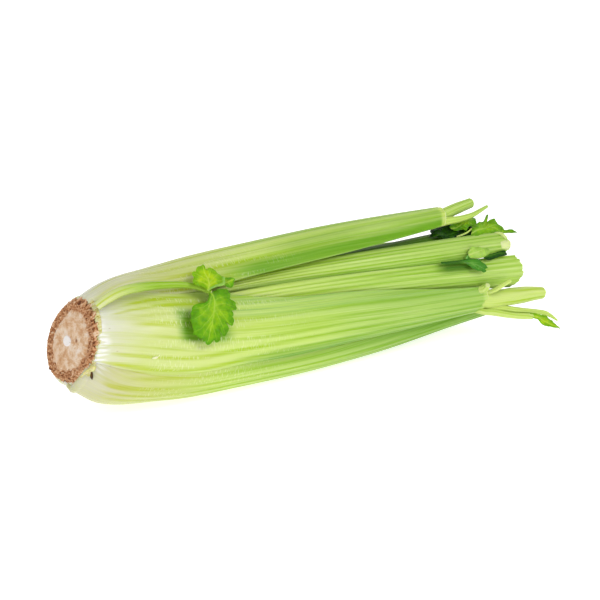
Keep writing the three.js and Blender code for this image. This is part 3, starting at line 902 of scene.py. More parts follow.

# %% [markdown]
# ## Heart stalks
# The youngest stalks stand in the middle and show only from the top end and through the gap
# under the top stalk. The uppermost lies in that gap's shade, so its skin is painted a deep
# green for that shade, and its top end lies up to a millimetre lower than its solid's, clear
# of the stalk above. The others are pale, since no light reached them as they grew.

# %% Heart stalk shapes
HEART_AT = [46, 80, 120, 170]
HEART = {
    "heart_stalk_top": dict(
        tip=272, angle=[22, 20, 18, 22, 24], reach=[12, 20, 25, 29.2, 31.6],
        width=[5, 8, 9, 8, 6.5], bend=[8, 12, 14, 12, 9],
        thick=[3, 5, 6.5, 7, 6], tuck=[0, 0, 0, 0, 0]),
    "heart_stalk_front": dict(
        tip=252, angle=[128, 130, 134, 140, 150], reach=[12, 19, 20.5, 20.5, 19],
        width=[5, 8.5, 10, 9, 7], bend=[8, 12, 13, 11, 8],
        thick=[3, 5, 6.5, 7, 6], tuck=[0, 0, 0, 0, 0]),
    "heart_stalk_under": dict(
        tip=243, angle=[205, 208, 212, 216, 220], reach=[12, 19, 20.5, 21, 20],
        width=[5, 8.5, 10, 9, 7], bend=[8, 12, 13, 11, 8],
        thick=[3, 5, 6.5, 7, 6], tuck=[0, 0, 0, 0, 0]),
    "heart_stalk_back": dict(
        tip=262, angle=[285, 286, 286, 286, 284], reach=[12, 18, 18.5, 18.5, 18],
        width=[5, 8, 9, 8.5, 7], bend=[8, 12, 13, 11, 8],
        thick=[3, 5, 6.5, 7, 6], tuck=[0, 0, 0, 0, 0]),
}
print("heart stalks:", len(HEART))

# %% [markdown]
# ## Make the heart stalks
# They are made like the others, with lower ribs and a rounder cut end.

# %% Make the heart stalks
heart_skin = stalk_skin("heart_stalk_skin", green=-0.06)
# Painted shade: a deep green skin for the stalk in the gap's shade.
shaded_skin = stalk_skin("heart_stalk_skin_shaded", green=0.1, deep_and_shade_colour=(70, 120, 8))


def shade_heart_top(t, s):
    # Painted shade over the outer part of its length.
    return 0.85 * smooth(s, 130, 190) + 0 * t, 0 * t


HEART_USUAL = dict(
    fine=HIDDEN_FINE, ribs=6, finish=heart_skin, slot="heart_stalk", relief=string_relief(0.35), dome=1.5)
HEART_OWN = {"heart_stalk_top": dict(finish=shaded_skin, shade=shade_heart_top)}
ring_of_stalks(HEART, HEART_AT, HEART_USUAL, HEART_OWN, first_seed=21)

# %% [markdown]
# ## A path for a round stem
# Where the two longest stalks were trimmed, round side stems leave the node. A stem needs a
# smooth path with a radius at each of its points. Blender's curves can do that, but here the
# stem also needs strings along it, so its path is found in code: points, radii, and two
# directions across that stay steady, which keeps the strings from twisting.

# %% Stem path
def smooth_path(knots, steps):
    """Points, radii and two cross directions along a curve through (s, reach, angle, radius)."""
    knots = np.asarray(knots, float)
    way = on_plant(knots[:, 0], knots[:, 1], knots[:, 2])
    ticks = np.concatenate([[0], np.cumsum(np.linalg.norm(np.diff(way, axis=0), axis=1) ** 0.8)])
    u = np.linspace(0, ticks[-1], steps)
    path = np.stack([through(ticks, way[:, k], u) for k in range(3)], -1)
    ahead = np.gradient(path, axis=0)
    ahead /= np.linalg.norm(ahead, axis=1)[:, None]
    side = np.cross(ahead, [0, 0.35, 1.0])
    side /= np.linalg.norm(side, axis=1)[:, None]
    return path, through(ticks, knots[:, 3], u), side, np.cross(side, ahead)


print("points on a test path:", smooth_path([[0, 20, 0, 2], [10, 22, 5, 2], [20, 22, 10, 1]], 9)[0].shape)

# %% [markdown]
# ## A round stem
# A stem is not quite round: strings run along it, it swells a little here and there, and its
# foot flares into the node. Its cut end is closed in a few steps, as a stalk's is. It wears
# the stalks' skin, so it carries the same named values.

# %% Round stem
CAP_STEPS = 6


def stem(name, knots, finish, slot, along, ribs, solids=(), sides=32, steps=60, flare=0.0, cut=0.35,
         deep=0.0, worn=0.0, seed=1):
    """A round stem through its knots (s, reach, angle, radius). along is where it starts and
    ends on the colour ramps, cut is how far its end is domed, and worn shows flesh."""
    path, radius, side, lift = smooth_path(knots, steps)
    turn = np.linspace(0, 2 * np.pi, sides, endpoint=False)
    q = np.linspace(0, 1, steps)[:, None]
    wave = np.abs(np.sin(turn * ribs / 2 + 0.5 * np.sin(turn * 2 + seed) + 0.3 * np.sin(q * 3 + seed)))
    luck = dice(np.round(turn * ribs / 2 / np.pi), seed=seed)
    groove = (1 - smooth(wave, 0.05, 0.5)) * (0.35 + 0.65 * luck)
    girth = radius[:, None] * (1 + flare * np.exp(-q * 9)) + 0.10 * radius.max() ** 0.5 * (wave - 0.6)
    girth = girth + 0.05 * radius[:, None] * grain(q * 7, turn * 1.1, seed=seed)
    rows = path[:, None] + girth[..., None] * (
        side[:, None] * np.cos(turn)[None, :, None] + lift[:, None] * np.sin(turn)[None, :, None])
    ahead = path[-1] - path[-2]
    ahead /= np.linalg.norm(ahead)
    caps = []
    for k in range(1, CAP_STEPS + 1):
        shrink = math.cos(k / CAP_STEPS * math.pi / 2)
        rough = 0.12 * radius[-1] * grain(np.cos(turn) * shrink * 3, np.sin(turn) * shrink * 3, k, seed=seed)
        ring = path[-1] + (rows[-1] - path[-1]) * shrink
        bulge = cut * math.sin(k / CAP_STEPS * math.pi / 2) * radius[-1]
        caps.append(ring + ahead * (bulge + rough[:, None]))
    foot = path[0] + (rows[0] - path[0]) * 0.02
    whole = np.concatenate([foot[None], rows, np.stack(caps)])

    def spread(value, end):
        value = value + np.zeros((steps, sides))
        return np.concatenate([value[:1], value, np.full((len(caps), sides), end)])

    ramp_at = (along[0] + (along[1] - along[0]) * q) / RAMP_LENGTH
    arc = radius.mean() * turn[None] + 0 * q
    mm = np.concatenate([[0], np.cumsum(np.linalg.norm(np.diff(path, axis=0), axis=1))])[:, None]
    lay = np.stack(np.broadcast_arrays(arc + 17 * seed, mm, 11.0 * seed), -1)
    readings = {
        "along": spread(ramp_at, float(ramp_at[-1, 0])),
        "groove": spread(groove, 0.1),
        "flesh": spread(worn + 0 * q, 1.0),
        "deep": spread(deep * smooth(q, 0.1, 0.55), 0.0),
        "cool": spread(0 * q, 0.0),
        "dashes": spread(0 * q, 0.0),
        "shine": spread(0 * q, 0.0),
        "lay": np.concatenate([lay[:1], lay, np.repeat(lay[-1:], len(caps), 0)]),
    }
    quads = hoops_to_quads(len(whole), sides)
    return make_piece(name, whole, quads, finish, readings, solids=solids, crease=70)


print("steps that close a stem:", CAP_STEPS)

# %% [markdown]
# ## Stubs, petioles and small strands
# The top stalk keeps a thick and a thin stub. The front one keeps a thick petiole, two thin
# ones, a spur and a knob. At the cut end of the upper inner stalk there are a lump and a
# strand of fibre, and one more strand leads to a leaf. In the solids the stubs and petioles
# are grown together with their stalks, so these pieces replace no solid of their own.

# %% Stubs and petioles
STUBS = {
    "thick_stub": [[254, 41.5, 14.2, 4], [264, 44, 15.2, 3.9], [277, 45, 11.7, 3.6], [291, 46, 8.7, 3.3]],
    "thin_stub": [
        [256, 42.5, 21.4, 2.6], [264.9, 43.5, 22.6, 2.5], [275, 43.5, 23.1, 2.1], [285.8, 44, 22, 1.6],
        [293.1, 44, 18.9, 1.3], [301.8, 44, 14.8, 0.9]],
    "thick_petiole": [
        [276, 32, 105, 4.8], [287, 35, 109.6, 5.3], [298.1, 36, 110.9, 5.6], [309.3, 36.5, 112.2, 5.5],
        [323.6, 36.5, 114.4, 4.9], [334.2, 36.5, 116.8, 4.0]],
    "high_petiole": [
        [282, 32, 116.5, 2.4], [291, 38, 117.4, 2.2], [298, 40.5, 118, 1.95], [306.6, 43, 119.8, 1.9],
        [316.5, 45, 121.9, 1.7], [326.6, 47, 124, 1.55], [332, 49, 124.7, 1.5], [335.6, 52, 125.4, 1.1],
        [339.5, 55, 127.3, 0.5]],
    "low_petiole": [
        [279, 34, 121, 2.3], [285, 38.5, 121, 2.2], [291, 41, 120.4, 2.3], [298, 44, 120.9, 2.1],
        [305.3, 46.5, 121.8, 1.95], [313.9, 48.5, 122.8, 2.0], [319.5, 50, 123.2, 1.6]],
    "spur": [[284, 35, 102, 1.5], [289, 40, 95, 1.5], [291.4, 41.3, 92.2, 1.45], [294.8, 42, 90, 1.3],
             [299, 42, 88.1, 1.15]],
    "knob": [[278, 36, 95, 2.2], [281, 39.5, 91.4, 2.4], [281.2, 41.2, 88.2, 1.7]],
    "end_lump": [[296, 35, 53, 3.2], [300, 37, 54, 3.7], [304.4, 37.6, 54.6, 3.5]],
    "end_strand": [
        [298, 38.2, 40.8, 0.7], [300.4, 40, 43.6, 1.0], [301.6, 40.6, 46.6, 1.1], [302.8, 40.6, 49.4, 0.9]],
    "leaf_strand": [
        [270.3, 36.7, 35, 0.45], [274.8, 37.4, 34.7, 0.5], [279, 38, 33.6, 0.5], [283.1, 38.4, 31.1, 0.5]],
}
STUB_USUAL = dict(ribs=6, flare=0.12, along=(96, 120))
STUB_OWN = {
    "thick_stub": dict(ribs=11, along=(150, 215)),
    "thin_stub": dict(along=(110, 190)),
    "thick_petiole": dict(ribs=11, cut=0.12),
    "end_lump": dict(along=(60, 90), worn=0.7),
    "end_strand": dict(along=(100, 140), worn=0.7),
}
stub_skin = stalk_skin("stub_skin", gloss=0.42)
for seed, (name, knots) in enumerate(STUBS.items(), start=31):
    stem(name, knots, stub_skin, "outer_stalk", seed=seed, **{**STUB_USUAL, **STUB_OWN.get(name, {})})

# %% [markdown]
# ## The stem of the sprout
# A thin young shoot grows from the side of the crown and lies along the front stalk's edge. It is
# made as the other stems are, with more points, because it bends most. It is pale at its foot
# and a strong yellow-green where it meets its leaves.

# %% Sprout stem
SPROUT_STEM = [
    [8, 28.6, 29.4, 2.6], [12, 33.5, 29.2, 3.0], [20, 39.2, 30, 3.0], [35, 42.8, 31.8, 2.6],
    [52, 44.6, 33.6, 2.1], [68, 45.8, 37, 1.8], [75, 46.8, 41.5, 1.6], [80, 48, 47.2, 1.4],
]
sprout_skin = stalk_skin("sprout_skin", gloss=0.34, deep_and_shade_colour=(138, 184, 0))
stem("sprout_stem", SPROUT_STEM, sprout_skin, "sprout", along=(40, 120), ribs=5, solids=["sprout_stem"],
     sides=40, steps=160, deep=0.9, seed=41)

# %% [markdown]
# ## The finish of a leaf
# A celery leaf is bright where it is young and deep green where it is old, cloudy between its
# veins, and paler underneath. It is thin, so light that falls on it goes into the blade and
# comes out beside. The finish is one ramp from bright to deep, read from how far out on the
# blade a point is, with the veins and the underside blended over. The same finish in cream or
# brown does for three tiny scraps of torn, dry and bruised skin.

# %% Leaf finish
UNDERSIDE_COLOUR = (146, 192, 84)
# Painted shade: the dark green for parts of a blade that lie in shade.
DIM_COLOUR = (36, 82, 0)


def leaf_finish(name, deep, bright, vein):
    """deep is the colour towards the rim, bright the one at the heart."""
    finish, tree, shader = new_finish(name)
    lay = reading(tree, "lay", "Vector")
    cloud = drawn_out(tree, lay, 0.22, 0.22, 3)
    tone = plus(tree, reading(tree, "out"), span(tree, cloud, 0.3, 0.7, -0.25, 0.25))
    deepest = [0.9 * c for c in deep]
    colour = ramp(tree, tone, [(0.0, paint(*bright)), (0.55, paint(*deep)), (1.0, paint(*deepest))])
    colour = blend(tree, reading(tree, "vein"), colour, paint(*vein))
    colour = blend(tree, reading(tree, "under"), colour, paint(*UNDERSIDE_COLOUR))
    # Painted shade where the mesh says a blade is dim.
    colour = blend(tree, reading(tree, "dim"), colour, paint(*DIM_COLOUR))
    tree.links.new(colour, shader.inputs["Base Color"])
    net = drawn_out(tree, lay, 1.3, 1.3, 3, 0.6)
    roughen(tree, shader, net, 0.4, 0.0003)
    tree.links.new(span(tree, net, 0.3, 0.7, 0.36, 0.5), shader.inputs["Roughness"])
    let_light_in(shader, 0.35, (0.6, 1.0, 0.05), 0.0008, 0.12)
    return finish


fresh_leaf = leaf_finish("fresh_leaf", (98, 162, 0), (146, 192, 10), (176, 212, 70))
bright_leaf = leaf_finish("bright_leaf", (130, 184, 2), (182, 212, 16), (196, 220, 80))
dark_leaf = leaf_finish("dark_leaf", (66, 134, 28), (84, 146, 40), (120, 176, 80))
# Painted shade: a near-black green for a leaf and for dark sheets that lie in the shade between the tops.
painted_shade_leaf = leaf_finish("painted_shade_leaf", (18, 62, 0), (40, 94, 0), (70, 124, 16))
heart_leaf = leaf_finish("heart_leaf", (106, 162, 8), (142, 190, 24), (176, 212, 84))
pale_leaf = leaf_finish("pale_leaf", (156, 196, 76), (172, 208, 96), (198, 218, 122))
torn_skin = leaf_finish("torn_skin", (214, 204, 130), (242, 240, 200), (226, 218, 150))
dry_skin = leaf_finish("dry_skin", (70, 44, 14), (112, 78, 30), (84, 54, 18))
bruised_skin = leaf_finish("bruised_skin", (232, 238, 180), (242, 246, 206), (236, 240, 190))
print("leaf and scrap finishes ready")

# %% [markdown]
# ## Outlines of the sprout's leaves
# Celery leaves are lobed and toothed, and no two are alike, so each rim is drawn one by one: a
# row of points in millimetres from the foot, towards the tops and round the head. `foot` is
# the place on the plant, `heart` the point that the blade is drawn out from, `veins` are
# lines on the blade, and `rise` is how far it stands off the plant. `rolled` is an edge that
# turns over and shows its pale underside.

# %% Sprout leaf outlines
SPROUT_LEAVES = {
    "sprout_leaf_large": dict(foot=(79.5, 48.4, 47), heart=(-2, 12), rim=[
        (1.6, 0.3), (5.3, -0.6), (8.8, -0.7), (11.2, -0.3), (12.6, 0.5), (12.6, 1.9), (13.6, 2.6),
        (13, 4.5), (12.2, 5.9), (13.8, 7.3), (15.4, 9.2), (15.1, 10.6), (15.4, 12.6), (14, 13.6),
        (12.1, 12.8), (10.6, 13.6), (11.3, 15.2), (11, 16.5), (9.8, 16.9), (10.7, 18.7), (9.7, 20.4),
        (8.3, 22), (7.1, 21.8), (5.6, 20.7), (4.6, 19.5), (4.7, 21.3), (5, 23.2), (4, 25.2), (2.1, 26.9),
        (0.5, 26.2), (-0.2, 24.5), (-0.8, 23.7), (-0.7, 25.8), (-0.9, 27.6), (-2.4, 29.6), (-4.1, 29.6),
        (-4.8, 28.2), (-5.7, 29), (-7.5, 30.2), (-9.3, 30.4), (-10.5, 29.3), (-11, 27.8), (-12.1, 28),
        (-12.6, 26.4), (-14.1, 25.6), (-15.3, 24.8), (-16, 23.8), (-17.8, 22.9), (-17.6, 21.1),
        (-17.9, 18.9), (-18, 16.7), (-18.6, 14.4), (-17.4, 12.4), (-17.5, 10.5), (-16.3, 8.8),
        (-14.9, 6.7), (-12.9, 5.8), (-9.6, 5.7), (-6.5, 5.8), (-4.2, 4.9), (-2.9, 3.4), (-1.8, 1.6),
        (-0.5, 0.4)],
        veins=[
            [(-0.1, 0.3), (0.6, 2.9), (0.3, 5.9), (-0.6, 8.8), (-1.9, 11.6), (-3.2, 15.1), (-4.4, 18.5),
             (-6.7, 22.9), (-8.9, 28.8)],
            [(0.3, 5.9), (3.2, 4.9), (6.8, 4.4), (10.9, 4.8)],
            [(-0.7, 8.8), (3.3, 8.4), (7, 8.7), (13.8, 11.5)],
            [(0.3, 5.9), (1.3, 10.7), (3.4, 15.5), (5.1, 18.8), (7.6, 21.1)],
            [(-1.5, 10.2), (0, 15.6), (1.4, 20.3), (2.3, 25.3)], [(-4.7, 19.2), (-4, 22.3), (-3.1, 28)],
            [(-0.6, 2.6), (-3.7, 6.7), (-8.2, 8.3), (-13.8, 8.3)],
            [(-1.8, 4.8), (-5.1, 9.5), (-10.5, 12.4), (-16.5, 14.3)],
            [(-2.2, 12.6), (-7.1, 16.6), (-12.4, 20.2), (-16.7, 21.5)],
            [(-3.9, 16.8), (-6.9, 19.6), (-10.6, 23), (-12.7, 25.3)]],
        rise=lambda x, y: 0.5 - 0.05 * x - 0.012 * (x + 1) ** 2 + 0.9 * np.sin(x / 4.2) * smooth(y, 2, 20)),
    "sprout_leaf_curled": dict(foot=(79.5, 48.2, 42), heart=(1, -4), rim=[
        (-8.5, -6.6), (-7.7, -8.4), (-5.8, -9.3), (-4.8, -8.7), (-3.7, -10.4), (-1.8, -11.5), (-0.4, -11.3),
        (1.4, -11.8), (2.1, -10.8), (1.8, -9.4), (2.9, -8.9), (4.6, -9.3), (6.7, -8.4), (8.1, -7),
        (8.5, -5.5), (9.6, -4.2), (10.5, -2.4), (10.5, -0.8), (9.8, 0.8), (9.3, 2.4), (7.7, 3.3), (4.2, 3.7),
        (0.7, 4), (-1.6, 4.4), (-3, 4.5), (-3.5, 2.8), (-5.2, 1), (-7.6, -0.6), (-9.9, -1.5), (-10.5, -2.7),
        (-9.2, -4.2), (-8, -5.1)],
        veins=[[(-2.7, 4.1), (-0.5, 1), (0.5, -2.9), (0.2, -7.3), (1, -11.1)],
               [(-1, 1.7), (-3.1, -1.5), (-6.2, -3.3), (-9.6, -3)],
               [(-0.1, -1.3), (-2.6, -5.2), (-5.7, -7.6), (-7.1, -8.3)],
               [(-0.6, 0.2), (4.7, -2.9), (8.2, -4.8)],
               [(-0.8, 1.3), (5, 0), (9.8, -0.2)], [(0.3, -2.5), (3.2, -5.8), (5.8, -8.4)]],
        rolled=[(-1.5, 4.4), (4.2, 3.6), (7.7, 3.1), (9.4, 2), (10.2, -0.6)],
        rise=lambda x, y: 2.9 + 0.7 * np.sin(x / 2.6 + 0.6) + 0.5 * np.sin(y / 2.4 + x / 5)),
    "sprout_leaf_small": dict(foot=(89.5, 46.8, 43.3), heart=(3.5, -1), rim=[
        (1.7, -3.1), (2.7, -4.2), (4.8, -4.5), (6.7, -3.8), (7.9, -2.7), (9.4, -2), (8, -0.6), (7.3, 1),
        (6.1, 2.2), (4.3, 2.4), (2, 1.8), (0.4, 0.6), (-1.3, -0.3), (-0.4, -2.3)],
        veins=[[(0, -0.6), (4, -1), (8.6, -1.8)], [(2.5, -0.8), (4.4, -3.8)], [(3, -0.9), (5.4, 1.6)]],
        rise=lambda x, y: 0.6 + 0.7 * np.sin(x / 1.9 + y)),
}
print("sprout leaves:", len(SPROUT_LEAVES))

# %% [markdown]
# ## Outlines of the leaves between the tops
# When the head was trimmed, a few young leaves stayed between the stalks, and one at the end
# of the low petiole. They are folded and crowd each other, so their blades wave more. `dim`
# is where a blade is painted dark for the shade it lies in, and the leaf that `stands` is
# seen edge-on to the plant.

# %% Top leaf outlines
TOP_LEAVES = {
    "heart_leaf_dark": dict(foot=(257, 34, 26), heart=(9, 0.3), rim=[
        (-1.9, -1.9), (-0.1, -3.3), (2.3, -4), (5.8, -5.3), (10.2, -7.9), (13.4, -8.8), (15.2, -7.2),
        (16.6, -5), (17.6, -3), (18.6, -0.8), (19.5, 0.8), (18.2, 2.1), (16.3, 3.4), (15.4, 6), (13.2, 7.5),
        (8.4, 7.2), (3.8, 6.6), (4, 3.8), (1.6, 2.1), (-0.7, 0.3)],
        veins=[[(0, 0), (8, 0), (17, 1)], [(6, 0), (10, -3.5)], [(8, 0), (13, 4)]],
        rise=lambda x, y: 0.8 * np.sin(x / 2.2) + 0.5 * np.sin(y / 1.5)),
    "heart_leaf_middle": dict(foot=(262, 36, 26), heart=(21, -4), rim=[
        (8.4, -3.1), (11.8, -5.1), (16, -6.6), (22.1, -7.9), (28, -9), (32.6, -8.3), (31, -4.7),
        (29.2, -1.2), (27.1, -1), (24.9, -0.9), (22.6, -0.7), (19.9, 1.3), (17, 3.1), (16.4, 1.6), (14, 1.2),
        (11, 0.3), (9.4, -1.6)],
        veins=[[(9, -2), (16, -3), (24, -5), (31, -7)], [(16, -3), (17, 2.5)], [(19, -4), (21, -7.6)],
               [(23, -4.6), (28, -2)]],
        rise=lambda x, y: 0.4 + 0.8 * np.sin(x / 2.4 + y / 3) + 0.4 * np.sin(y / 1.3)),
    "heart_leaf_bright": dict(foot=(282, 37.3, 33), heart=(12, 0.2), rim=[
        (-2.8, 4.4), (-1, 1.7), (1, -1), (3.3, -3.8), (5.6, -4.3), (7.8, -4.5), (11.1, -5.5), (13.8, -5.8),
        (16.9, -8.2), (19.6, -10.6), (20.9, -11), (20.7, -9.9), (18.5, -7.8), (16.2, -5.5), (19.1, -5.2),
        (21.8, -4.8), (21.4, -2), (21.5, 0.1), (23.2, 1.5), (24.5, 2.7), (25.1, 4.3), (27.2, 4.6),
        (29.3, 5.1), (30.7, 6.2), (32.7, 8.2), (30.1, 8.2), (27.3, 7.5), (25.4, 6.4), (23.9, 5.9),
        (21.5, 6.9), (18.6, 6.4), (18.4, 5.2), (15.6, 5.0), (13.1, 5.0), (11.1, 6.4), (7.6, 6.4), (2.2, 6)],
        veins=[[(-3, 2.5), (6, 1), (14, 0), (20, 0)], [(8, 0.8), (11, -4)], [(12, 0), (17, -3)],
               [(14, 0.3), (19, 4), (28, 6.5)], [(13, -3), (18.5, -8.8)]],
        rise=lambda x, y: 1.1 + 0.9 * np.sin(x / 2.5 + y / 4) + 0.5 * np.sin(y / 1.6 + 1)),
    "inner_leaf_dark": dict(foot=(249, 39.6, 61.5), heart=(22, 3), rim=[
        (-1.3, -1.9), (3.3, -1.4), (7.9, -1), (12.5, -0.7), (18, -0.4), (23.3, 0.4), (27.1, 1.3), (29, 2.9),
        (31.1, 4.4), (32.7, 5.9), (33.8, 7.6), (31.6, 8.1), (32, 9.5), (30.5, 10.1), (28.9, 9.7),
        (27.6, 8.6), (25.5, 8.1), (22.5, 6.7), (20.5, 5), (18.9, 3.5), (16.5, 1.9), (12.9, 0.5), (7.4, 0.3),
        (2.8, 0.1), (-0.9, -0.7)],
        veins=[[(0, -0.3), (14, 0.3), (24, 4), (31, 8)], [(20, 2), (27, 3.5)], [(22, 3.5), (26, 7.5)]],
        # Painted shade on the thin part of this leaf.
        dim=lambda x, y: 0.85 * (1 - smooth(x, 12, 21)),
        rise=lambda x, y: 0.9 + 0.5 * np.sin(x / 3.2) + 0.35 * smooth(x, 24, 33) * np.sin(y * 1.6)),
    "inner_leaf_light": dict(foot=(267, 40.6, 59.5), heart=(6.5, -0.6), rim=[
        (2, 0.4), (2, -2.1), (3.9, -4.5), (6.4, -5.6), (10.2, -5.4), (14, -4.6), (18.6, -2.6), (20, -0.5),
        (16.2, 1.4), (11, 2.3), (5.6, 1.6)],
        veins=[[(1, -1), (6, -1.5), (14, -2.5)], [(2, -3), (8, -4.5)]],
        rise=lambda x, y: 1.3 - 1.5 * smooth(x, 0, 14)),
    "petiole_leaf_tip": dict(foot=(317.7, 49.1, 123.5), stands=True, heart=(7.5, 5.5), rim=[
        (0.7, -1.4), (2.4, -1.3), (4.8, -0.9), (7.2, 0.2), (11, 2.5), (12.4, 4.5), (13.2, 7.3), (13.9, 9.5),
        (14.9, 12), (15.8, 14.9), (13.6, 13.9), (11.7, 12.8), (9.5, 11.4), (6.7, 10.8), (5.1, 10),
        (4.1, 8.2), (3.7, 5.7), (3.2, 3.7), (1.3, 2.8), (-0.4, 1.5)],
        veins=[[(0.5, 0.1), (5.5, 2.9), (8.9, 7.4), (12.7, 11.2), (15.5, 14.4)],
               [(5.5, 2.9), (9.5, 3.3), (11.8, 5.4)], [(6.1, 3.6), (5.9, 7.2), (6.3, 9.7)]],
        rise=lambda x, y: 0.5 + 0.3 * np.sin(x / 2)),
}
print("top leaves:", len(TOP_LEAVES))

# %% [markdown]
# ## Shade sheets and scraps
# Four small blades are painted shade: dark sheets behind and beside the leaves that stand for
# the shade there and close the gaps between the tops. Three more are marks at the root and on
# the front stalk: a flap of torn skin, a dry crack and a pale bruise. All are too thin and small
# for the solids, so they are only in this scene. The marks could be painted, but a torn flap
# stands off the skin.

# %% Scrap outlines
SCRAPS = {
    # Painted shade: a dark sheet for the shade under the trimmed stubs.
    "heart_leaf_shade": dict(foot=(262, 33, 31), heart=(20, -3), rim=[
        (16.4, -5.7), (20.7, -9.4), (26, -11), (28.1, -9.1), (28.3, -5.9), (25.9, -2.2), (22.8, 2.4),
        (18.6, 3.1), (13.3, 3.5), (8.8, 3.3), (10.5, -0.1), (15.1, -2.4)],
        veins=[[(10, 2), (18, -1), (27, -9)], [(18, -1), (25, -2)]],
        rise=lambda x, y: 0.5 * np.sin(x / 1.8) + 0.3 * np.sin(y / 1.3)),
    # Painted shadow: a dark sheet for the shadow beside the flap's left edge.
    "inner_flap_shadow": dict(foot=(267, 40.3, 59.5), heart=(2.6, -1.6), rim=[
        (5.8, -5.5), (3.5, -3.8), (1.9, -1.5), (-0.5, 0.3), (0.7, 1.3), (2.8, 1.0), (4.4, -1.7)],
        veins=[[(0, 0.6), (2.8, -1.4), (5.2, -4.8)]],
        rise=lambda x, y: 1.0 + 0.1 * np.sin(x)),
    # Painted shade: a dark sheet in the seam between the two inner stalks.
    "inner_seam_shade": dict(foot=(281.9, 38.5, 62.9), heart=(12, -1), rim=[
        (0.1, -0.1), (4.5, -1.2), (9.5, -1.7), (14.5, -2.1), (17.7, -1.8), (19.2, 0.9), (13.7, 1.4),
        (8.7, 1.8), (2.9, 2.0)],
        veins=[[(1, -0.6), (12, -1), (20, 0)]],
        rise=lambda x, y: 0.2 + 0.2 * np.sin(x / 2)),
    # Painted shade: a dark sheet behind the top leaves that fills the gaps with shade.
    "heart_shade_backing": dict(foot=(276.2, 31, 15.6), heart=(3, 1), rim=[
        (-14.9, -3.8), (-3.6, -10.4), (8.5, -16.5), (12.6, -10.8), (16.5, -2.8), (19.7, 3.8), (14.5, 8.2),
        (5.5, 8.7), (-4.7, 8.2), (-13.2, 5.1)],
        veins=[[(-12, 0), (2, -2), (14, 0)]],
        rise=lambda x, y: -0.6 + 0.2 * np.sin(x / 2)),
    "torn_flap": dict(foot=(7, 25.2, 112), heart=(1.2, -0.8), under=0.0, rim=[
        (-2.0, 3.6), (-2.0, 1.0), (-0.5, -1.3), (0.6, -4.1), (2.4, -4.3), (4.0, -2.2), (2.7, -1.0),
        (1.0, -1.1), (1.9, 1.7), (-0.1, 2.2), (-1.2, 4.8)],
        veins=[[(-1.5, 3), (0, -1), (3, -3)]],
        rise=lambda x, y: 1.9 * smooth(x, -0.3, 1.6)),
    "dry_crack": dict(foot=(10, 27, 115), heart=(0.0, 0.4), under=0.0, rim=[
        (-2.3, -3.0), (-1.0, -2.5), (1.0, 0.7), (2.3, 4.0), (1.2, 3.4), (-1.0, 0.2)],
        veins=[[(-1.6, -2.6), (1.8, 3.6)]],
        rise=lambda x, y: 0.25 + 0.35 * x),
    "pale_bruise": dict(foot=(41.7, 39.3, 91.2), heart=(0.4, -0.2), under=0.0, rim=[
        (-3.9, 0.4), (-2.1, -0.6), (-0.1, -0.6), (1.0, -2.0), (2.2, -0.5), (5.0, -0.5), (3.4, 0.5),
        (0.1, 0.5), (-1.8, 1.1)],
        veins=[[(-3, 0.2), (4, -0.2)]],
        rise=lambda x, y: 0 * x),
}
TINY = ("torn_flap", "dry_crack", "pale_bruise")
print("folds and scraps:", len(SCRAPS))

# %% [markdown]
# ## Veins
# A vein is a pale line. The blade lies low along it and puckers up between the veins. Both
# need to know how far each point of the blade is from the line, and how far along the line
# it is, because a vein gets thinner and fainter towards the rim.

# %% Vein pattern
CREASE_WIDTH = 1.1


def off_line(x, y, line):
    """Distance of grid points from a bent line, and how far along it they are, 0 to 1."""
    line = np.asarray(line, float)
    best, place = np.full(x.shape, 1e9), np.zeros(x.shape)
    total = np.linalg.norm(np.diff(line, axis=0), axis=1).sum()
    gone = 0.0
    for (ax, ay), (bx, by) in zip(line[:-1], line[1:]):
        length = math.hypot(bx - ax, by - ay)
        p = np.clip(((x - ax) * (bx - ax) + (y - ay) * (by - ay)) / length**2, 0, 1)
        away = np.hypot(x - ax - p * (bx - ax), y - ay - p * (by - ay))
        nearer = away < best
        best, place = np.where(nearer, away, best), np.where(nearer, (gone + p * length) / total, place)
        gone += length
    return best, place


def vein_pattern(x, y, lines):
    """How much each point is vein, and how much it is crease. The first line is the midrib."""
    vein, crease = np.zeros_like(x), np.zeros_like(x)
    for k, line in enumerate(lines):
        width, paleness, depth = (0.62, 0.9, 1.0) if k == 0 else (0.34, 0.6, 0.7)
        away, place = off_line(x, y, line)
        core = np.exp(-((away / (width * (1 - 0.6 * place))) ** 2))
        vein = np.maximum(vein, core * paleness * (1 - 0.45 * place))
        crease = np.maximum(crease, np.exp(-((away / CREASE_WIDTH) ** 2)) * depth)
    return vein, crease


print("points of the large leaf's rim:", len(SPROUT_LEAVES["sprout_leaf_large"]["rim"]))

# %% [markdown]
# ## A leaf blade
# The blade is drawn as rays from its heart to the rim, in rings that crowd towards the rim,
# where the teeth are. Between the veins the blade puckers, and the rim frills a little. A
# single sheet of faces would be quicker, but it has no thickness and no underside. So the
# blade is two sheets that meet at the rim, and the mesh is closed.

# %% Leaf blade
HALF_THICK = 0.25
RIM_FINE = 7  # points for each drawn point of the rim
LEAF_RINGS, TINY_RINGS = 26, 12
UNDERSIDE_SHARE = 0.7  # how much of the underside's colour the lower face takes


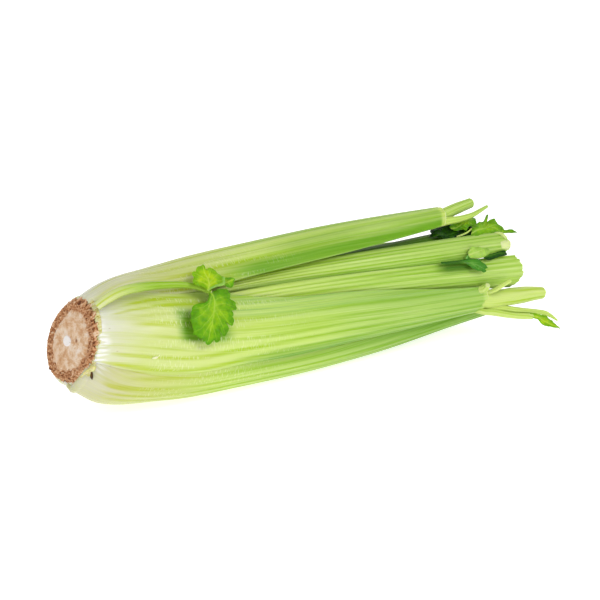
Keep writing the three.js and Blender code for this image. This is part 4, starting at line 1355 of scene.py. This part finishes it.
def blade(name, leaf, finish, slot, rings, seed):
    rim = np.asarray(leaf["rim"], float)
    looped = np.concatenate([rim[-3:], rim, rim[:4]])
    marks = np.concatenate([[0], np.cumsum(np.linalg.norm(np.diff(looped, axis=0), axis=1) ** 0.7)])
    places = np.linspace(3, 3 + len(rim), len(rim) * RIM_FINE, endpoint=False)
    u = np.interp(places, np.arange(len(marks)), marks)
    rim_x, rim_y = through(marks, looped[:, 0], u), through(marks, looped[:, 1], u)
    q = np.sin(np.linspace(0.002, 1, rings) * np.pi / 2)[:, None]
    x = leaf["heart"][0] + (rim_x - leaf["heart"][0]) * q
    y = leaf["heart"][1] + (rim_y - leaf["heart"][1]) * q

    vein, crease = vein_pattern(x, y, leaf["veins"])
    size = math.sqrt(np.ptp(rim[:, 0]) * np.ptp(rim[:, 1])) / 25
    rolled = 1 - smooth(off_line(x, y, leaf["rolled"])[0], 0.5, 1.9) if "rolled" in leaf else 0 * x
    pucker = 0.45 * grain(x / 2.4, y / 2.4, seed=seed) + 0.18 * grain(x / 1.1, y / 1.1, seed=seed + 1)
    pucker = (pucker + 0.35) * (1 - crease) * (0.5 + 0.5 * size)
    frill = 0.35 * grain(x / 1.7, y / 1.7, 4, seed=seed) * q**4
    s0, reach, angle = leaf["foot"]
    faces = []
    for sign in (1, -1):
        height = leaf["rise"](x, y) + pucker + frill + 1.1 * rolled
        height = height + sign * HALF_THICK * (1 - 0.8 * q**6) - 0.15 * vein * sign
        if leaf.get("stands"):
            faces.append(on_plant(s0 + x, reach + y, angle - np.degrees(height / reach)))
        else:
            faces.append(on_plant(s0 + x, reach + height, angle + np.degrees(y / reach)))
    whole = np.concatenate([faces[0], faces[1][::-1]])

    def both(upper, lower=None):
        upper = upper + np.zeros_like(x)
        lower = upper if lower is None else lower + np.zeros_like(x)
        return np.concatenate([upper, lower[::-1]])

    tone = grain(x / 5, y / 5, seed=seed + 2) * 0.5 + 0.5
    readings = {
        "out": both(0.75 * q**2 + 0.25 * tone),
        "vein": both(vein, 0.8 * vein),
        "under": both(rolled, leaf.get("under", UNDERSIDE_SHARE)),
        "dim": both(leaf["dim"](x, y) if "dim" in leaf else 0 * x),
        "lay": np.stack([both(x), both(y), both(0.0, 3.0) + seed * 7.0], -1),
    }
    quads = hoops_to_quads(2 * rings, len(u))
    solids = [] if name in SCRAPS else [name]
    return make_piece(name, whole, quads, finish, readings, solids=solids)


print("points on each ring of the large leaf:", RIM_FINE * len(SPROUT_LEAVES["sprout_leaf_large"]["rim"]))

# %% [markdown]
# ## Make the leaves
# Each blade gets its finish. The slot listed beside it is passed on but not used.

# %% Make the leaves
LEAVES = {**SPROUT_LEAVES, **TOP_LEAVES, **SCRAPS}
LEAF_LOOKS = {
    "sprout_leaf_large": (fresh_leaf, "leaf"), "sprout_leaf_curled": (bright_leaf, "leaf"),
    "sprout_leaf_small": (fresh_leaf, "leaf"), "heart_leaf_dark": (painted_shade_leaf, "dark_leaf"),
    "heart_leaf_middle": (fresh_leaf, "leaf"), "heart_leaf_bright": (heart_leaf, "leaf"),
    "inner_leaf_dark": (dark_leaf, "dark_leaf"), "inner_leaf_light": (pale_leaf, "leaf"),
    "petiole_leaf_tip": (bright_leaf, "leaf"), "heart_leaf_shade": (painted_shade_leaf, "dark_leaf"),
    "inner_flap_shadow": (dark_leaf, "dark_leaf"), "inner_seam_shade": (painted_shade_leaf, "dark_leaf"),
    "heart_shade_backing": (painted_shade_leaf, "dark_leaf"), "torn_flap": (torn_skin, "outer_stalk"),
    "dry_crack": (dry_skin, "outer_stalk"), "pale_bruise": (bruised_skin, "outer_stalk"),
}
for seed, (name, leaf) in enumerate(LEAVES.items(), start=51):
    blade(name, leaf, *LEAF_LOOKS[name], rings=TINY_RINGS if name in TINY else LEAF_RINGS, seed=seed)

# %% [markdown]
# ## The root cut
# The cut root is a pale tan disc with a small light spot, inside a ragged brown ring of dried
# fibre, and a torn cream rim where the stalks were attached. A flat disc with a picture of
# this would look wrong from the side, so the fibres are real relief: rings of points that
# noise pushes in and out, finer and rougher towards the rim.

# %% Crown finish
PORE_COLOUR = (186, 138, 100)
SPOT_COLOUR = (255, 250, 246)
DARK_SPECK_COLOUR = (138, 84, 48)


def crown_finish():
    finish, tree, shader = new_finish("root_cut")
    face = reading(tree, "lay", "Vector")
    wobble = mottle(tree, stretched(tree, face, (0.13, 0.17, 0.17)), 1, 3, 0.6)
    fibre = mottle(tree, stretched(tree, face, (0.55, 0.8, 0.8)), 1, 4, 0.7)
    pores = mottle(tree, stretched(tree, face, (1.1, 1.6, 1.6)), 1, 2)
    flesh = ramp(tree, plus(tree, wobble, span(tree, fibre, 0.3, 0.7, -0.06, 0.06)), [
        (0.28, paint(204, 146, 96)), (0.42, paint(222, 178, 136)), (0.54, paint(240, 210, 178)),
        (0.7, paint(248, 232, 216)),
    ])
    flesh = blend(tree, span(tree, pores, 0.36, 0.28, 0, 0.5), flesh, paint(*PORE_COLOUR))
    # The crust is darker down between the tufts and lighter on their tips: partly the dried fibre's own
    # colour, partly painted shade in the pits.
    tuft = plus(tree, reading(tree, "tuft"), span(tree, fibre, 0.3, 0.7, -0.3, 0.3))
    crust = ramp(tree, tuft, [
        (0.0, paint(104, 56, 26)), (0.24, paint(158, 100, 60)), (0.48, paint(200, 142, 96)),
        (0.75, paint(222, 172, 128)), (0.95, paint(244, 212, 178)),
    ])
    ring = plus(tree, reading(tree, "ring"), span(tree, fibre, 0.3, 0.7, -0.22, 0.22))
    colour = blend(tree, span(tree, ring, 0.25, 0.75), flesh, crust)
    colour = blend(tree, reading(tree, "spot"), colour, paint(*SPOT_COLOUR))
    colour = blend(tree, reading(tree, "speck"), colour, paint(*DARK_SPECK_COLOUR))
    collar = ramp(tree, fibre, [
        (0.33, paint(150, 100, 40)), (0.42, paint(214, 204, 110)), (0.6, paint(238, 234, 190)),
    ])
    wall = plus(tree, reading(tree, "wall"), span(tree, fibre, 0.35, 0.65, -0.25, 0.25))
    colour = blend(tree, span(tree, wall, 0.4, 0.6), colour, collar)
    tree.links.new(colour, shader.inputs["Base Color"])
    roughen(tree, shader, plus(tree, fibre, times(tree, pores, 0.4)), 0.7, 0.0007)
    tree.links.new(span(tree, fibre, 0.3, 0.7, 0.55, 0.8), shader.inputs["Roughness"])
    let_light_in(shader, 0.12, (1.0, 0.7, 0.4), 0.0008, 0.2)
    return finish


cut_finish = crown_finish()
print("nodes in the finish of the cut:", len(cut_finish.node_tree.nodes))

# %% [markdown]
# ## The outline of the cut
# The cut slants, so its rings are squashed a little to be round in their own plane. The rim
# isn't a true circle either, as a turned disc's would be: it is worn in at the front of its
# underside and a little at the top, and stands out at the back of its underside.

# %% Crown outline
SQUAT = math.cos(CUT_RISE)
TURN_STEPS = 420
turn = np.linspace(0, 360, TURN_STEPS, endpoint=False)
turn_x, turn_z = np.sin(np.radians(turn)), np.cos(np.radians(turn))


def towards(middle, start):
    """1 in the direction middle, in degrees, and 0 where its cosine is below start."""
    return smooth(np.cos(np.radians(turn - middle)), start, 1.0)


WORN_IN = 0.1 * towards(152, 0.35) + 0.04 * towards(-5, 0.2) - 0.055 * towards(222, 0.3)
crown_rows = []
crown_values = {key: [] for key in ("ring", "tuft", "wall", "x", "z")}


def crown_row(s, r, ring, tuft, wall):
    """Adds one ring of points, and how much of each finish shows on it."""
    squat = SQUAT + (1 - SQUAT) * smooth(s, 7, 11)
    r = r * (1 - WORN_IN * (1 - smooth(s, 7.2, 9.2)))
    upright = np.asarray(r) * turn_z * (squat - 1)
    slant = np.stack([math.tan(CUT_RISE) * upright, 0 * upright, upright], -1)
    crown_rows.append(on_plant(s, r, turn) + slant)
    flat = np.minimum(r, 25.5)
    for key, value in zip(crown_values, (ring, tuft, wall, flat * turn_x, flat * turn_z)):
        crown_values[key].append(value + 0 * turn)


print("rim worn in by", round(float(WORN_IN.max()), 3), "and out by", round(float(-WORN_IN.min()), 3))

# %% [markdown]
# ## The face of the cut
# The face is a shallow dish of flesh inside a ring of torn fibre. Its rings of points lie
# closer together in the fibre, where noise pushes them in and out, and further apart in the
# flesh, which is nearly smooth.

# %% Crown face
RING_FROM, RING_FULL = 16.4, 20.4
FACE_RADII = np.concatenate([np.linspace(0.3, 14, 28), np.linspace(14.3, 23.6, 46)])
for r in FACE_RADII:
    x, z = r * turn_x, r * turn_z
    ragged = 1.3 * grain(x / 3, z / 3, seed=60) + 0.9 * grain(x / 1.1, z / 1.1, 3, seed=60)
    ring = smooth(r + ragged, RING_FROM, RING_FULL)
    tufts = 0.42 * grain(x / 1.5, z / 1.05, seed=61) + 0.42 * grain(x / 0.8, z / 0.55, seed=62)
    dish = 0.6 * smooth(r, 0, 14) - 1.0 * smooth(r, 15.5, 19) + 0.6 * smooth(r, 21.5, 23.6)
    s = 6.2 - 0.8 * dish - 1.15 * ring * tufts - 0.12 * (1 - ring) * grain(x / 2.2, z / 2.2, seed=63)
    crown_row(s, r + 0.7 * ring * grain(x / 1.4, z / 1.4, 7, seed=64), ring, 0.5 + 0.6 * tufts, 0)
print("rings on the face:", len(crown_rows))

# %% [markdown]
# ## The side of the crown
# Behind the face there is a short ragged wall with a cream collar, where the stalks were
# attached, and then a cone that the stalks hide. Each row is distance along and reach.

# %% Crown side
WALL = [
    (6.2, 24.0), (6.5, 24.4), (6.9, 24.7), (7.3, 24.9), (7.7, 25.0), (8.1, 25.1), (8.6, 25.2), (9.1, 25.3),
    (9.6, 25.5), (10.1, 25.6), (10.6, 25.4), (11.1, 24.6), (11.8, 20), (20, 18), (40, 7), (43.5, 0.6),
]
for k, (s, r) in enumerate(WALL):
    torn = 0.8 * grain(turn / 3.4, s / 1.4, seed=65) + 0.7 * grain(turn / 1.7, s / 0.8, seed=66)
    loose = 0.95 * (1 - smooth(k, 6, 11))
    sunny = smooth(np.cos(np.radians(turn - 75)), 0.2, 0.7)
    crown_row(s + 0.4 * loose * torn, r + loose * torn, 1, 0.5 + 0.6 * torn, smooth(k + 1.5 * sunny, 5, 9))
print("rings of the whole crown:", len(crown_rows))

# %% [markdown]
# ## Make the crown
# A light spot and a dark speck mark the middle of the cut. They are written on the mesh, so
# they stay in place however the finish changes, and the spot is raised a little.

# %% Make the crown
disc = {key: np.stack(rows) for key, rows in crown_values.items()}
spot = 1 - smooth(np.hypot((disc["x"] + 3.4) / 4.3, (disc["z"] + 0.2) / 3.2), 0.85, 1.05)
speck = 0.85 * (1 - smooth(np.hypot((disc["x"] - 5.8) / 1.5, (disc["z"] - 2.9) / 1.4), 0.4, 1.1))
crown_points = np.stack(crown_rows)
crown_points[..., 0] -= 0.5 * spot
make_piece(
    "root_crown", crown_points, hoops_to_quads(len(crown_rows), TURN_STEPS), cut_finish,
    {"ring": disc["ring"], "tuft": disc["tuft"], "wall": disc["wall"], "spot": spot, "speck": speck,
     "lay": np.stack([disc["x"], disc["z"], 4 * disc["wall"]], -1)},
    solids=["root_crown"],
)

# %% [markdown]
# ## The floor
# The head lies on a plain pale floor. A floor that only reflects turns grey away from the
# lights, so this one also glows a little. That keeps it even, keeps the shadow under the head
# soft, and lights the underside of the stalks.

# %% Floor
FLOOR_HALF = 3.0
FLOOR_GLOW = 0.7
CORNERS = [(-1, -1), (1, -1), (1, 1), (-1, 1)]
floor_mesh = bpy.data.meshes.new("floor")
floor_mesh.from_pydata([(FLOOR_HALF * x, FLOOR_HALF * y, 0) for x, y in CORNERS], [], [(0, 1, 2, 3)])
floor_finish, floor_tree, floor_shader = new_finish("pale_floor")
spread_light = mottle(floor_tree, node(floor_tree, "TexCoord").outputs["Object"], 3.0, 2)
floor_colour = ramp(floor_tree, spread_light, [(0.3, (0.70, 0.70, 0.70, 1)), (0.7, (0.73, 0.73, 0.73, 1))])
floor_tree.links.new(floor_colour, floor_shader.inputs["Base Color"])
floor_shader.inputs["Roughness"].default_value = 0.9
floor_shader.inputs["Specular IOR Level"].default_value = 0.1
floor_shader.inputs["Emission Color"].default_value = (1.0, 1.0, 1.0, 1.0)
floor_shader.inputs["Emission Strength"].default_value = FLOOR_GLOW
floor_mesh.materials.append(floor_finish)
floor = bpy.data.objects.new("floor", floor_mesh)
bpy.context.scene.collection.objects.link(floor)
print("floor, metres across:", 2 * FLOOR_HALF)

# %% [markdown]
# ## The light
# The light is that of a soft white studio. A white surround fills the shadows. One soft light
# from the right and above throws the leaf's shadow to the left, and a weaker, larger one
# opens the shadows on the other side. Both look at the middle of the head.

# %% Light
from mathutils import Vector

ROOM_LIGHT = 0.75
scene = bpy.context.scene
world = bpy.data.worlds.new("soft_white_room")
world.use_nodes = True
world.node_tree.nodes["Background"].inputs["Color"].default_value = (1.0, 1.0, 1.0, 1.0)
world.node_tree.nodes["Background"].inputs["Strength"].default_value = ROOM_LIGHT
scene.world = world
scene.view_settings.view_transform = "Standard"

head_middle = on_table(on_plant(165.2, 0.3, 0))
right_of_view = np.array([0.8385, -0.5448, 0.0])
towards_view = np.array([-0.5135, -0.7901, 0.3348])


def soft_light(name, direction, distance, size, power):
    """Square area light that looks at the middle of the head."""
    lamp = bpy.data.lights.new(name, "AREA")
    lamp.size, lamp.energy = size, power
    holder = bpy.data.objects.new(name, lamp)
    direction = np.asarray(direction, float) / np.linalg.norm(direction)
    holder.location = Vector(head_middle + direction * distance)
    holder.rotation_mode = "QUATERNION"
    holder.rotation_quaternion = Vector(direction).to_track_quat("Z", "Y")
    scene.collection.objects.link(holder)
    print(name, "at", [round(v, 2) for v in holder.location])


soft_light("key_light", 0.8 * right_of_view + 0.9 * towards_view + np.array([0, 0, 0.7]),
           distance=1.1, size=0.4, power=5.0)
soft_light("fill_light", -0.9 * right_of_view + 1.0 * towards_view + np.array([0, 0, 0.5]),
           distance=1.3, size=0.7, power=1.6)

# %% [markdown]
# ## The camera
# The camera looks down on the head from the front and a little from the root end. A long lens
# from over a metre away keeps the far end of the head from shrinking.

# %% Camera
CAMERA_DISTANCE = 1.2
view_camera = bpy.data.cameras.new("view_camera")
view_camera.lens = 115.4
view_camera.sensor_width = 36
view_camera.clip_end = 20
camera = bpy.data.objects.new("view_camera", view_camera)
camera.location = Vector(head_middle + towards_view * CAMERA_DISTANCE)
camera.rotation_mode = "QUATERNION"
camera.rotation_quaternion = Vector(towards_view).to_track_quat("Z", "Y")
scene.collection.objects.link(camera)
scene.camera = camera
print("camera at", [round(v, 2) for v in camera.location])

# %% [markdown]
# ## Count the triangles
# The dressed head should be the size of its solids, or the part would not fit where its
# solids do. The triangles of all the pieces made here are counted and printed.

print("triangles:", sum(2 * len(p.data.polygons) for p in MADE))
